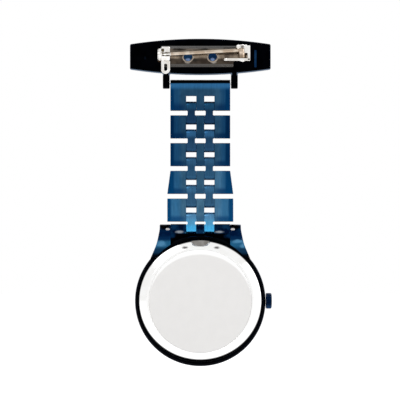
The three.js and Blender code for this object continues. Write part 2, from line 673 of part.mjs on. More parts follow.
const INDEX_INNER = INDEX_OUTER - INDEX_LENGTH;
const STEM_Y = (CASE_FRONT + CASE_REAR) / 2;
const DIAL_REAR = DIAL_FRONT + DIAL_THICKNESS;
const BEZEL_FRONT = CASE_FRONT - BEZEL_HEIGHT;
const LEDGE_FRONT = CASE_FRONT - BEZEL_LEDGE_HEIGHT;

const heightOnCircle = (radius, x) => Math.sqrt(radius * radius - x * x);

// A lug: round at its tip, thicker towards the case, and its flank runs out into the case's side.
function lug(side) {
  const fullZ = AXIS_UP - LUG_TAPER_DROP;
  const tipZ = AXIS_UP + LUG_TIP_RADIUS;
  const inward = CASE_BORE_RADIUS + CASE_EDGE;
  const outline = shapeOf([
    [side * LUG_INNER, tipZ],
    [side * LUG_TIP_OUTER, tipZ],
    [side * LUG_TIP_OUTER, AXIS_UP],
    [side * LUG_WAIST_OUTER, AXIS_UP - LUG_WAIST_DROP],
    [side * LUG_ROOT_OUTER, heightOnCircle(CASE_RADIUS, LUG_ROOT_OUTER)],
    [side * LUG_INNER, heightOnCircle(inward, LUG_INNER)],
  ]);
  const profile = new THREE.Shape();
  profile.absarc(0, AXIS_UP, LUG_TIP_RADIUS, 0, Math.PI);
  profile.lineTo(CASE_FRONT, fullZ);
  profile.lineTo(CASE_FRONT, 0);
  profile.lineTo(CASE_REAR, 0);
  profile.lineTo(CASE_REAR, fullZ);
  const ends = [side * LUG_INNER, side * LUG_ROOT_OUTER];
  const block = plateX(profile, Math.min(...ends), Math.max(...ends), 8);
  const body = block.intersect(plateY(outline, CASE_FRONT - 1, CASE_REAR + 1));
  return cut(body, tipHole(side, LUG_INNER, 0, AXIS_UP));
}

function caseMiddle() {
  const ring = turned([
    [CASE_BORE_RADIUS, CASE_FRONT],
    [CASE_RADIUS - CASE_EDGE, CASE_FRONT],
    [CASE_RADIUS, CASE_FRONT + CASE_EDGE],
    [CASE_RADIUS, CASE_REAR - CASE_EDGE],
    [CASE_RADIUS - CASE_EDGE, CASE_REAR],
    [CASE_BORE_RADIUS, CASE_REAR],
  ]);
  const bore = rod("y", CASE_BORE_RADIUS, CASE_FRONT - 1, CASE_REAR + 1, 0, 0, FINE);
  const lugs = join(lug(-1), lug(1)).subtract(bore);
  const tubeHole = rod("x", CASE_TUBE_RADIUS + CLOSE_FIT, -CASE_RADIUS - 1, 0, STEM_Y, 0, SMALL);
  return mesh("case_middle", cut(join(ring, lugs), tubeHole), DARK_BLUE_STEEL);
}

// The end link fills the space between the lugs, in three blocks joined by a web in front of the knuckles.
function endLink() {
  const half = LUG_INNER - END_LINK_GAP;
  const depth = LINK_THICKNESS / 2;
  const lowest = heightOnCircle(CASE_RADIUS, LUG_INNER) - LINK_ROUNDING;
  const profile = roundedRectangle(-depth, depth, lowest, AXIS_UP + END_LINK_RISE, LINK_ROUNDING);
  const blocks = [
    plateX(profile, -half, -OUTER_LINK_INNER, 3),
    plateX(profile, -CENTRE_LINK_WIDTH / 2, CENTRE_LINK_WIDTH / 2, 3),
    plateX(profile, OUTER_LINK_INNER, half, 3),
  ];
  const webTop = AXIS_UP - END_LINK_WEB_DROP;
  const web = box(-half, half, -depth - END_LINK_WEB, -depth + CLOSE_FIT, lowest, webTop);
  const caseSpace = rod("y", CASE_RADIUS + END_LINK_GAP, CASE_FRONT - 1, CASE_REAR + 1, 0, 0, FINE);
  const bore = rod("x", BAR_RADIUS + BAR_PLAY, -LUG_INNER, LUG_INNER, 0, AXIS_UP, SMALL);
  return mesh("end_link", cut(join(...blocks, web), caseSpace, bore), DARK_BLUE_STEEL);
}

function bezel() {
  const solid = turned([
    [BEZEL_LEDGE_RADIUS, CASE_FRONT],
    [BEZEL_RADIUS - CASE_EDGE / 2, CASE_FRONT],
    [BEZEL_RADIUS, CASE_FRONT - CASE_EDGE / 2],
    [BEZEL_TOP_RADIUS, BEZEL_FRONT + CLOSE_FIT],
    [BEZEL_TOP_RADIUS - CLOSE_FIT, BEZEL_FRONT],
    [SEAT_RADIUS, BEZEL_FRONT],
    [SEAT_RADIUS, LEDGE_FRONT],
    [BEZEL_LEDGE_RADIUS, LEDGE_FRONT],
  ]);
  return mesh("bezel", solid, DARK_BLUE_STEEL);
}

function crystal() {
  const front = LEDGE_FRONT - CRYSTAL_THICKNESS;
  const solid = turned([
    [0, LEDGE_FRONT],
    [CRYSTAL_RADIUS, LEDGE_FRONT],
    [CRYSTAL_RADIUS, front + CRYSTAL_BEVEL],
    [CRYSTAL_RADIUS - CRYSTAL_BEVEL, front],
    [0, front],
  ]);
  return mesh("crystal", solid, GLASS);
}

function crystalGasket() {
  const inner = CRYSTAL_RADIUS + CLOSE_FIT;
  const outer = SEAT_RADIUS - CLOSE_FIT;
  const front = LEDGE_FRONT - CRYSTAL_THICKNESS + CRYSTAL_BEVEL;
  const solid = turned([[inner, front], [outer, front], [outer, LEDGE_FRONT], [inner, LEDGE_FRONT]]);
  return mesh("crystal_gasket", solid, SEAL);
}

function caseBack() {
  const snapOuter = CASE_BORE_RADIUS - BACK_PLAY;
  const snapInner = snapOuter - BACK_SNAP_WALL;
  const floor = CASE_REAR + BACK_FLOOR;
  const recess = BACK_DISC_RADIUS + BACK_DISC_PLAY;
  const lip = CASE_REAR + BACK_HEIGHT;
  const solid = turned([
    [0, CASE_REAR + BACK_FLOOR - BACK_WALL],
    [snapInner, CASE_REAR + BACK_FLOOR - BACK_WALL],
    [snapInner, CASE_REAR - BACK_SNAP_DEPTH],
    [snapOuter, CASE_REAR - BACK_SNAP_DEPTH],
    [snapOuter, CASE_REAR],
    [BACK_RADIUS, CASE_REAR],
    [BACK_RADIUS, CASE_REAR + BACK_RIM_HEIGHT],
    [recess + BACK_SNAP_WALL, lip],
    [recess, lip],
    [recess, floor],
    [0, floor],
  ]);
  const notch = rod("y", NOTCH_RADIUS, CASE_REAR + BACK_RIM_HEIGHT, lip + 1, 0, NOTCH_CENTRE);
  return mesh("case_back", cut(solid, notch), BRIGHT_STEEL);
}

function backDisc() {
  const floor = CASE_REAR + BACK_FLOOR;
  const face = floor + BACK_DISC_THICKNESS;
  const solid = turned([[0, floor], [BACK_DISC_RADIUS, floor], [BACK_DISC_RADIUS, face], [0, face]]);
  return mesh("back_disc", solid, SATIN_STEEL);
}

function backGasket() {
  const outer = CASE_BORE_RADIUS - BACK_PLAY - BACK_SNAP_WALL - CLOSE_FIT;
  const inner = outer - GASKET_WIDTH;
  const rear = CASE_REAR + BACK_FLOOR - BACK_WALL;
  const front = rear - BACK_GASKET_HEIGHT;
  const solid = turned([[inner, front], [outer, front], [outer, rear], [inner, rear]], HIDDEN);
  return mesh("back_gasket", solid, SEAL);
}

// Dial and hands: twelve o'clock points down, and angles run clockwise as seen from the front
const dialDirection = (turns) => {
  const angle = 2 * Math.PI * turns;
  return [-Math.sin(angle), -Math.cos(angle)];
};

// A flat bar in X and Z that points along a direction, with a width at each end.
function pointer(direction, from, to, startWidth, endWidth) {
  const [dx, dz] = direction;
  const corner = (along, across) => [dx * along - dz * across, dz * along + dx * across];
  return shapeOf([
    corner(from, -startWidth / 2),
    corner(to, -endWidth / 2),
    corner(to, endWidth / 2),
    corner(from, startWidth / 2),
  ]);
}

function dial() {
  const plate = rod("y", DIAL_RADIUS, DIAL_FRONT, DIAL_REAR, 0, 0, FINE);
  const hole = rod("y", DIAL_HOLE_RADIUS, DIAL_FRONT - 1, DIAL_REAR + 1, 0, 0, SMALL);
  const hours = Array.from({ length: 12 }, (_, hour) => hour);
  const indices = hours.map((hour) => {
    const shape = pointer(dialDirection(hour / 12), INDEX_INNER, INDEX_OUTER, INDEX_WIDTH, INDEX_WIDTH);
    return plateY(shape, DIAL_FRONT - INDEX_HEIGHT, DIAL_FRONT + DIAL_THICKNESS / 2);
  });
  return mesh("dial", cut(join(plate, ...indices), hole), DIAL_WHITE);
}

function hand(name, turns, length, width, step, holeRadius, material, tail = 0) {
  const rear = DIAL_FRONT - HAND_CLEARANCE - step * HAND_STEP;
  const front = rear - HAND_THICKNESS;
  const direction = dialDirection(turns);
  const blade = plateY(pointer(direction, -tail, length, width, width / 2), front, rear);
  const hub = rod("y", holeRadius + HUB_WALL, front, rear, 0, 0, SMALL);
  const hole = rod("y", holeRadius, front - 1, rear + 1, 0, 0, SMALL);
  return mesh(name, cut(join(blade, hub), hole), material);
}

// Wheels: the tooth at the given direction, an angle in the XZ plane from +X towards +Z
function gearShape(teeth, module, direction) {
  const tip = module * (teeth / 2 + TOOTH_ADDENDUM);
  const root = module * (teeth / 2 - TOOTH_DEDENDUM);
  const pitch = (2 * Math.PI) / teeth;
  const points = [];
  for (let tooth = 0; tooth < teeth; tooth += 1) {
    const centre = direction + tooth * pitch;
    const corners = [[root, -TOOTH_ROOT_SHARE], [tip, 0], [root, TOOTH_ROOT_SHARE]];
    for (const [radius, share] of corners) {
      const angle = centre + share * pitch;
      points.push([radius * Math.cos(angle), radius * Math.sin(angle)]);
    }
  }
  return shapeOf(points);
}

const layerStart = (layer) => PLATE_FRONT + PLATE_THICKNESS + LAYER_STEP / 3 + layer * LAYER_STEP;

// A wheel or pinion blank in a layer, about its own centre.
function toothed(teeth, module, direction, y0, centre = [0, 0]) {
  const gear = plateY(gearShape(teeth, module, direction), y0, y0 + WHEEL_THICKNESS);
  return gear.translate([centre[0], 0, centre[1]]);
}

// Centres of the train: the third wheel above the centre, the fifth below it and the rotor below that
const UP = Math.PI / 2;
const DOWN = -Math.PI / 2;
const THIRD_DISTANCE = TRAIN_MODULE * (PINION_TEETH + THIRD_WHEEL_TEETH) / 2;
const CENTRE_MODULE = 2 * THIRD_DISTANCE / (PINION_TEETH + CENTRE_WHEEL_TEETH);
const SECONDS_MODULE = 2 * THIRD_DISTANCE / (PINION_TEETH + FOURTH_WHEEL_TEETH);
const ROTOR_DISTANCE = TRAIN_MODULE * (PINION_TEETH + FIFTH_WHEEL_TEETH) / 2;
const THIRD = [0, THIRD_DISTANCE];
const FIFTH = [0, -THIRD_DISTANCE];
const ROTOR = [0, -THIRD_DISTANCE - ROTOR_DISTANCE];
const MINUTE_DISTANCE = MOTION_MODULE * (CANNON_TEETH + MINUTE_WHEEL_TEETH) / 2;
const MINUTE = [MINUTE_DISTANCE, 0];
const halfTooth = (teeth) => Math.PI / teeth;
const PLATE_REAR = PLATE_FRONT + PLATE_THICKNESS;
const BRIDGE_REAR = BRIDGE_FRONT + BRIDGE_THICKNESS;
const HOUR_HAND_FRONT = DIAL_FRONT - HAND_CLEARANCE - HAND_THICKNESS;
const MOTION_WHEEL_Y = DIAL_REAR + LAYER_STEP / 2;
const MOTION_PINION_Y = PLATE_FRONT - LAYER_STEP / 3 - WHEEL_THICKNESS;

function pivots(centre) {
  return rod("y", ARBOR_RADIUS, PLATE_REAR - PLATE_THICKNESS / 2, BRIDGE_FRONT + BRIDGE_THICKNESS / 2,
    centre[0], centre[1], SMALL);
}

function centreWheel() {
  const wheel = toothed(CENTRE_WHEEL_TEETH, CENTRE_MODULE, UP, layerStart(0));
  const cannon = toothed(CANNON_TEETH, MOTION_MODULE, 0, MOTION_PINION_Y);
  const front = HOUR_HAND_FRONT - HAND_STEP;
  const rear = layerStart(0) + WHEEL_THICKNESS;
  const tube = rod("y", TUBE_RADIUS, front, rear, 0, 0, SMALL);
  const bore = rod("y", ARBOR_RADIUS + ARBOR_PLAY, front - 1, rear + 1, 0, 0, SMALL);
  return mesh("centre_wheel", cut(join(wheel, cannon, tube), bore), BRASS);
}

function hourWheel() {
  const wheel = toothed(HOUR_WHEEL_TEETH, MOTION_MODULE, 0, MOTION_WHEEL_Y);
  const pipe = rod("y", PIPE_RADIUS, HOUR_HAND_FRONT, MOTION_WHEEL_Y + WHEEL_THICKNESS, 0, 0, SMALL);
  const bore = rod("y", TUBE_RADIUS + ARBOR_PLAY, HOUR_HAND_FRONT - 1, PLATE_FRONT, 0, 0, SMALL);
  return mesh("hour_wheel", cut(join(wheel, pipe), bore), BRASS);
}

function minuteWheel() {
  const wheelPhase = Math.PI + halfTooth(MINUTE_WHEEL_TEETH);
  const pinionPhase = Math.PI + halfTooth(MINUTE_PINION_TEETH);
  const wheel = toothed(MINUTE_WHEEL_TEETH, MOTION_MODULE, wheelPhase, MOTION_PINION_Y, MINUTE);
  const pinion = toothed(MINUTE_PINION_TEETH, MOTION_MODULE, pinionPhase, MOTION_WHEEL_Y, MINUTE);
  const stub = rod("y", ARBOR_RADIUS, MOTION_WHEEL_Y, PLATE_FRONT + PLATE_THICKNESS / 2, ...MINUTE, SMALL);
  return mesh("minute_wheel", join(wheel, pinion, stub), BRASS);
}

function thirdWheel() {
  const wheelPhase = DOWN + halfTooth(THIRD_WHEEL_TEETH);
  const pinionPhase = DOWN + halfTooth(PINION_TEETH);
  const wheel = toothed(THIRD_WHEEL_TEETH, TRAIN_MODULE, wheelPhase, layerStart(1), THIRD);
  const pinion = toothed(PINION_TEETH, CENTRE_MODULE, pinionPhase, layerStart(0), THIRD);
  return mesh("third_wheel", join(wheel, pinion, pivots(THIRD)), BRASS);
}

function fourthWheel() {
  const pinion = toothed(PINION_TEETH, TRAIN_MODULE, UP, layerStart(1));
  const wheel = toothed(FOURTH_WHEEL_TEETH, SECONDS_MODULE, DOWN, layerStart(2));
  const front = HOUR_HAND_FRONT - 2 * HAND_STEP;
  const arbor = rod("y", ARBOR_RADIUS, front, BRIDGE_FRONT + BRIDGE_THICKNESS / 2, 0, 0, SMALL);
  return mesh("fourth_wheel", join(pinion, wheel, arbor), BRASS);
}

function fifthWheel() {
  const pinion = toothed(PINION_TEETH, SECONDS_MODULE, UP + halfTooth(PINION_TEETH), layerStart(2), FIFTH);
  const wheel = toothed(FIFTH_WHEEL_TEETH, TRAIN_MODULE, DOWN, layerStart(3), FIFTH);
  return mesh("fifth_wheel", join(pinion, wheel, pivots(FIFTH)), BRASS);
}

function rotor() {
  const pinion = toothed(PINION_TEETH, TRAIN_MODULE, UP + halfTooth(PINION_TEETH), layerStart(3), ROTOR);
  const start = layerStart(0);
  const magnet = rod("y", ROTOR_MAGNET_RADIUS, start, start + ROTOR_MAGNET_HEIGHT, ...ROTOR, SMALL);
  return mesh("rotor", join(pinion, magnet, pivots(ROTOR)), BRIGHT_STEEL);
}

function stator() {
  const half = STATOR_HALF_WIDTH;
  const outline = roundedRectangle(-half, half, STATOR_BOTTOM, STATOR_TOP, STATOR_LIMB / 2);
  const inner = half - STATOR_LIMB;
  const start = STATOR_FRONT;
  const end = start + STATOR_THICKNESS;
  const window = box(-inner, inner, start - 1, end + 1, STATOR_BOTTOM + STATOR_LIMB, STATOR_WAIST);
  const hole = rod("y", ROTOR_MAGNET_RADIUS + STATOR_AIR_GAP, start - 1, end + 1, ...ROTOR, SMALL);
  return mesh("stator", cut(plateY(outline, start, end, 0, 3), window, hole), SATIN_STEEL);
}

function coil() {
  const y = STATOR_FRONT + STATOR_THICKNESS / 2;
  const z = STATOR_BOTTOM + STATOR_LIMB / 2;
  const [halfY, halfZ] = [STATOR_THICKNESS / 2 + COIL_GAP, STATOR_LIMB / 2 + COIL_GAP];
  const [outY, outZ] = [halfY + COIL_WALL / 2, halfZ + COIL_WALL];
  const outline = roundedRectangle(y - outY, y + outY, z - outZ, z + outZ, COIL_WALL / 2);
  const bore = box(-COIL_LENGTH, COIL_LENGTH, y - halfY, y + halfY, z - halfZ, z + halfZ);
  return mesh("coil", cut(plateX(outline, -COIL_LENGTH / 2, COIL_LENGTH / 2, 3), bore), COPPER);
}

// Plates: the main plate carries the front pivots, the bridge and the circuit board the rear ones
const pillarAt = (degrees) => {
  const angle = THREE.MathUtils.degToRad(degrees);
  return [PILLAR_CIRCLE * Math.cos(angle), PILLAR_CIRCLE * Math.sin(angle)];
};
const PILLARS = PILLAR_ANGLES.map(pillarAt);
const BOARD_PILLARS = BOARD_PILLAR_ANGLES.map(pillarAt);

function pivotHole(centre, y0, y1) {
  return rod("y", ARBOR_RADIUS + ARBOR_PLAY, y0, y1, centre[0], centre[1], SMALL);
}

function mainPlate() {
  const plate = rod("y", MOVEMENT_RADIUS, PLATE_FRONT, PLATE_REAR, 0, 0, FINE);
  const tubeHole = rod("y", TUBE_RADIUS + ARBOR_PLAY, PLATE_FRONT - 1, PLATE_REAR + 1, 0, 0, SMALL);
  const holes = [THIRD, FIFTH, ROTOR].map((centre) =>
    pivotHole(centre, PLATE_REAR - PLATE_THICKNESS / 2 - CLOSE_FIT, PLATE_REAR + 1),
  );
  const stubHole = pivotHole(MINUTE, PLATE_FRONT - 1, PLATE_FRONT + PLATE_THICKNESS / 2 + CLOSE_FIT);
  const slotHalf = STEM_RADIUS + CLOSE_FIT;
  const stemSlot = box(-MOVEMENT_RADIUS - 1, STEM_INNER_END + CLOSE_FIT, PLATE_FRONT - 1, PLATE_REAR + 1,
    -slotHalf, slotHalf + LEVER_ROOM);
  return mesh("main_plate", cut(plate, tubeHole, ...holes, stubHole, stemSlot), BRASS);
}

function trainBridge() {
  const radius = MOVEMENT_RADIUS;
  const disc = rod("y", radius - HOLDER_GAP, BRIDGE_FRONT, BRIDGE_REAR, 0, 0, FINE);
  const rearEdge = BOARD_EDGE_X - HOLDER_GAP;
  const side = box(rearEdge, radius, BRIDGE_FRONT - 1, BRIDGE_REAR + 1, -radius, radius);
  const holes = [THIRD, [0, 0], FIFTH, ROTOR].map((centre) =>
    pivotHole(centre, BRIDGE_FRONT - 1, BRIDGE_FRONT + BRIDGE_THICKNESS / 2 + CLOSE_FIT),
  );
  const pillars = PILLARS.map(([x, z]) => rod("y", PILLAR_RADIUS, PLATE_REAR, BRIDGE_REAR, x, z, SMALL));
  const coilStart = -STATOR_HALF_WIDTH;
  const coilSpace = box(coilStart, rearEdge, BRIDGE_FRONT - 1, BRIDGE_REAR + 1, -radius, STATOR_WAIST);
  return mesh("train_bridge", cut(join(cut(disc, side, coilSpace), ...pillars), ...holes), BRASS);
}

function circuitBoard() {
  const radius = MOVEMENT_RADIUS;
  const disc = rod("y", radius - HOLDER_GAP, BRIDGE_FRONT, BRIDGE_REAR, 0, 0, FINE);
  const corner = box(BOARD_EDGE_X, radius, BRIDGE_FRONT, BRIDGE_REAR, -radius, BOARD_EDGE_Z);
  const pillars = BOARD_PILLARS.map(([x, z]) =>
    rod("y", PILLAR_RADIUS, PLATE_REAR, BRIDGE_REAR, x, z, SMALL),
  );
  return mesh("circuit_board", join(disc.intersect(corner), ...pillars), BOARD_GREEN);
}

function battery() {
  const front = PLATE_REAR + CLOSE_FIT;
  const step = front + BATTERY_THICKNESS - BATTERY_STEP;
  const can = rod("y", BATTERY_RADIUS, front, step, BATTERY_X, BATTERY_Z, ROUND);
  const cap = rod("y", BATTERY_RADIUS - BATTERY_STEP, step, step + BATTERY_STEP, BATTERY_X, BATTERY_Z, ROUND);
  return mesh("battery", join(can, cap), BRIGHT_STEEL);
}

// The contact strip that holds the cell and carries its current to the board.
function batteryClamp() {
  const front = PLATE_REAR + CLOSE_FIT + BATTERY_THICKNESS;
  const rear = front + CLAMP_THICKNESS;
  const [x0, x1] = [BATTERY_X - CLAMP_WIDTH / 2, BATTERY_X + CLAMP_WIDTH / 2];
  const bottom = BATTERY_Z - BATTERY_RADIUS - CLAMP_WIDTH;
  const strip = box(x0, x1, front, rear, bottom, BATTERY_Z);
  const foot = box(x0, x1, BRIDGE_REAR, rear, bottom, bottom + CLAMP_WIDTH / 2);
  return mesh("battery_clamp", join(strip, foot), BRIGHT_STEEL);
}

function movementRing() {
  const inner = MOVEMENT_RADIUS + HOLDER_GAP;
  const outer = CASE_BORE_RADIUS - HOLDER_GAP;
  const rear = CASE_REAR - BACK_SNAP_DEPTH - HOLDER_GAP / 2;
  const ring = turned([[inner, DIAL_REAR], [outer, DIAL_REAR], [outer, rear], [inner, rear]], FINE);
  const stemHole = rod("x", CASE_TUBE_RADIUS + HOLDER_GAP, -CASE_RADIUS, 0, STEM_Y, 0, SMALL);
  return mesh("movement_ring", cut(ring, stemHole), PLASTIC);
}

// Crown and stem
const CROWN_INNER = -CASE_RADIUS - CROWN_GAP;
const CROWN_OUTER = CROWN_INNER - CROWN_LENGTH;
const STEM_OUTER_END = CROWN_OUTER + CROWN_LENGTH / 4;
const STEM_INNER_END = STEM_ENTRY - MOVEMENT_RADIUS;
const GROOVE_START = STEM_INNER_END - STEM_GROOVE_INSET - STEM_GROOVE_WIDTH;
function crown() {
  const outline = [];
  for (let i = 0; i < 2 * CROWN_FLUTES; i += 1) {
    const angle = (Math.PI * i) / CROWN_FLUTES;
    const radius = CROWN_RADIUS - (i % 2) * CROWN_FLUTE_DEPTH;
    outline.push([STEM_Y + radius * Math.cos(angle), radius * Math.sin(angle)]);
  }
  const body = plateX(shapeOf(outline), CROWN_OUTER, CROWN_INNER);
  const end = CROWN_INNER + 1;
  const recess = rod("x", CROWN_RECESS_RADIUS, CROWN_INNER - CROWN_RECESS_DEPTH, end, STEM_Y, 0, SMALL);
  const bore = rod("x", STEM_RADIUS + CLOSE_FIT, STEM_OUTER_END - CLOSE_FIT, end, STEM_Y, 0, SMALL);
  return mesh("crown", cut(body, recess, bore), DARK_BLUE_STEEL);
}

function windingStem() {
  const shaft = rod("x", STEM_RADIUS, STEM_OUTER_END, STEM_INNER_END, STEM_Y, 0, SMALL);
  const groove = cut(
    rod("x", 2 * STEM_RADIUS, GROOVE_START, GROOVE_START + STEM_GROOVE_WIDTH, STEM_Y, 0, SMALL),
    rod("x", STEM_GROOVE_RADIUS, GROOVE_START - 1, GROOVE_START + 1, STEM_Y, 0, SMALL),
  );
  return mesh("winding_stem", cut(shaft, groove), BRIGHT_STEEL);
}

// The setting lever's fork sits in the groove of the stem and follows it when the crown is pulled.
function settingLever() {
  const x0 = GROOVE_START + CLOSE_FIT;
  const x1 = GROOVE_START + STEM_GROOVE_WIDTH - CLOSE_FIT;
  const gap = STEM_GROOVE_RADIUS + CLOSE_FIT;
  const half = STEM_RADIUS;
  const plate = box(x0, x1, STEM_Y - half, STEM_Y + half, -STEM_GROOVE_RADIUS, LEVER_ROOM);
  const fork = box(x0 - 1, x1 + 1, STEM_Y - gap, STEM_Y + gap, -STEM_RADIUS, gap);
  return mesh("setting_lever", cut(plate, fork), BRIGHT_STEEL);
}

function caseTube() {
  const outer = -CASE_RADIUS - CASE_TUBE_STANDOUT;
  const inner = -CASE_BORE_RADIUS;
  const solid = cut(
    rod("x", CASE_TUBE_RADIUS, outer, inner, STEM_Y, 0, SMALL),
    rod("x", CASE_TUBE_BORE, outer - 1, inner + 1, STEM_Y, 0, SMALL),
  );
  return mesh("case_tube", solid, BRIGHT_STEEL);
}

function crownSeal() {
  const end = CROWN_INNER - CLOSE_FIT;
  const solid = cut(
    rod("x", SEAL_RADIUS, end - SEAL_WIDTH, end, STEM_Y, 0, SMALL),
    rod("x", CASE_TUBE_RADIUS + 2 * CLOSE_FIT, end - 1, end + 1, STEM_Y, 0, SMALL),
  );
  return mesh("crown_seal", solid, SEAL);
}

function watchHead() {
  const head = new THREE.Group();
  head.position.set(0, BAND_Y, CASE_Z);
  const secondTurns = SHOWN_SECONDS / 60;
  const minuteTurns = SHOWN_MINUTES / 60;
  const hourTurns = (SHOWN_HOURS + minuteTurns) / 12;
  head.add(
    caseMiddle(), endLink(), bezel(), crystal(), crystalGasket(), caseBack(), backDisc(), backGasket(),
    dial(),
    hand("hour_hand", hourTurns, HOUR_HAND_LENGTH, HOUR_HAND_WIDTH, 0, PIPE_RADIUS + CLOSE_FIT, BLACK_STEEL),
    hand("minute_hand", minuteTurns, MINUTE_HAND_LENGTH, MINUTE_HAND_WIDTH, 1, TUBE_RADIUS + CLOSE_FIT,
      BLACK_STEEL),
    hand("second_hand", secondTurns, SECOND_HAND_LENGTH, SECOND_HAND_WIDTH, 2, ARBOR_RADIUS + CLOSE_FIT,
      BRIGHT_STEEL, HAND_TAIL),
    movementRing(), mainPlate(), trainBridge(), circuitBoard(), battery(), batteryClamp(),
    centreWheel(), hourWheel(), minuteWheel(), thirdWheel(), fourthWheel(), fifthWheel(), rotor(),
    stator(), coil(),
    crown(), windingStem(), settingLever(), caseTube(), crownSeal(),
    ...springBar("lower_bar", 0, AXIS_UP, LUG_INNER),
  );
  return head;
}

function brooch() {
  const group = new THREE.Group();
  group.add(
    broochBar(), pinBase(), pinHingeRivet(), pinStem(), catchHoop(), catchLever(),
    ...springBar("upper_bar", BAND_Y, UPPER_AXIS_Z, PRONG_INNER),
  );
  return group;
}

function bracelet() {
  const group = new THREE.Group();
  group.add(firstRow());
  for (let row = 1; row < ROW_COUNT; row += 1) group.add(linkRow(row));
  for (let row = 0; row < ROW_COUNT; row += 1) {
    group.add(connector(row, -1, "a"), connector(row, 1, "b"));
  }
  return group;
}

const fobWatch = new THREE.Group();
fobWatch.add(brooch(), bracelet(), watchHead());
export default fobWatch;
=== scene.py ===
import math

import bmesh
import bpy
from mathutils import Matrix, Vector


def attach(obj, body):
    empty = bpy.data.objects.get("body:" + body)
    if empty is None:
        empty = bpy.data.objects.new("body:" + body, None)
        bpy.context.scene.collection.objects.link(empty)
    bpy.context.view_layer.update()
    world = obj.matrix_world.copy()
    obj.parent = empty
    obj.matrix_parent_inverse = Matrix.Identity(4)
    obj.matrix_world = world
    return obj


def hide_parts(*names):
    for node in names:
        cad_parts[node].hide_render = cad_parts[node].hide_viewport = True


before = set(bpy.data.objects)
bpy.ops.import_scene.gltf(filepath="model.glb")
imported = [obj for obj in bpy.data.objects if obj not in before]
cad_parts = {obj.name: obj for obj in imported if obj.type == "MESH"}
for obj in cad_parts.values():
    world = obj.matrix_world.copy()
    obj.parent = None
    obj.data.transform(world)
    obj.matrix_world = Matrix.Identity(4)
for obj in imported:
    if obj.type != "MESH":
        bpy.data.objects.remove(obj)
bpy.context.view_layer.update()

# Sizes are in millimetres and become metres when a mesh is made. X runs along the brooch bar, Y from
# the dial to the wearer and Z up. A suffix a is the -X side and b the +X side.
MM = 0.001
SIDES = ((-1, "a"), (1, "b"))

# Brooch bar
BAR_HALF_LENGTH = 19.4
BAR_MID_HALF = 5.0
BAR_END_HALF = 3.5
BAR_CORNER = 0.6
BAR_FRONT = -3.0
BAR_REAR = -0.6
PRONG_INNER = 8.45
PRONG_OUTER = 10.35
PRONG_TOP = -2.0
BAND_Y = -1.8
UPPER_Z = -7.6

# Painted reflections on the bar's back, as thin strips (middle height, half length), and dishes
LINE_X = 15.2
LINE_HALF = 0.3
LINE_CORNER = 0.28
LINE_Y = (BAR_REAR - 0.1, BAR_REAR + 0.03)
LONG_LINE = (-0.5, 2.4)
SHORT_LINE = (-0.3, 0.4)
HOLE_X = 3.4
DISH_PROFILE = ((0, 0.05), (0.8, 0.06), (1.15, 0.16), (1.24, 0.16), (1.24, -0.05), (0, -0.05))

# Pin strip: half of its section from the lower edge to the middle, as [Y, Z] points
STRIP_FROM = -13.7
STRIP_TO = 11.7
STRIP_HALF = 3.0
STRIP_SECTION = (
    (-0.12, -3.0), (-0.02, -2.88), (0.0, -2.72), (-0.04, -2.5), (-0.22, -2.3), (-0.24, -1.75),
    (-0.1, -1.2), (-0.03, -0.6), (0.0, 0.0),
)
STRIP_CORNER = 0.5
TAB_HALF = 1.95
TAB_PLAY = 0.05
STRIP_CUT_TO = -9.1
HOLE_RADIUS = 1.25
RIM_PROFILE = ((1.18, -0.4), (1.6, -0.4), (1.6, 0.0), (1.3, 0.06), (1.18, -0.02))

# Pin hinge: two ears, an end wall with a lip, two beads and a rivet
HINGE_X = -11.5
PIN_Y = 2.5
EAR_REACH = 3.6
EAR_TOP = 3.0
EAR_BOTTOM = -1.2
EAR_THICKNESS = 0.7
EAR_ROOT_Y = -0.5
EAR_STRAIGHT_Y = 1.6
EAR_CORNER = 1.1
UPPER_EAR = 4.0
LOWER_EAR = 7.4
WALL_CORNER = 0.25
LIP_LENGTH = 1.6
LIP_BOTTOM = 0.95
LIP_THICKNESS = 0.13
BEAD_PLACES = (("a", -10.55), ("b", -12.45))
BEAD = (0.62, -0.4, 3.1)
BEAD_ROUNDING = 0.35
BEAD_DROP = 0.35
RIVET_HEAD = ((0, 0.3), (0.35, 0.29), (0.62, 0.21), (0.78, 0.09), (0.8, 0.0), (0.45, 0.0))

# Pin: its wire rises from the tip to the eye; the point is [radius, distance from the tip]
WIRE_RADIUS = 0.5
WIRE_FROM = 0.6
PIN_RISE = 1.25
TIP_INSET = 0.15
POINT_PROFILE = ((0.5, 1.5), (0.48, 1.0), (0.4, 0.6), (0.25, 0.25), (0.1, 0.05), (0, 0))
EYE_BORE = 0.52
EYE_PLAY = 0.06

# Catch: a ring with a mouth, a lever with a slot, and a neck that turns in the hoop
CATCH_Z = 0.5
CATCH_FROM = 8.3
CATCH_TO = 10.75
CATCH_RING = 2.255
CATCH_BORE = 0.85
MOUTH = (-0.52, 0.65)
BLADE_DROP = 5.3
BLADE_TOP = 1.1
BLADE_Y = (PIN_Y + 0.6, PIN_Y + 1.2)
SLOT_HALF = 0.42
SLOT = (0.85, 2.8)
NECK_PROFILE = ((0, -0.2), (1.25, -0.2), (1.25, 0.7), (1.5, 0.7), (1.5, 0.95), (0, 0.95))
PIT_DEPTH = 0.4
PIT_RISE = 0.01
PIT_OVAL = (10.3, 1.65, 0.42, 0.5)

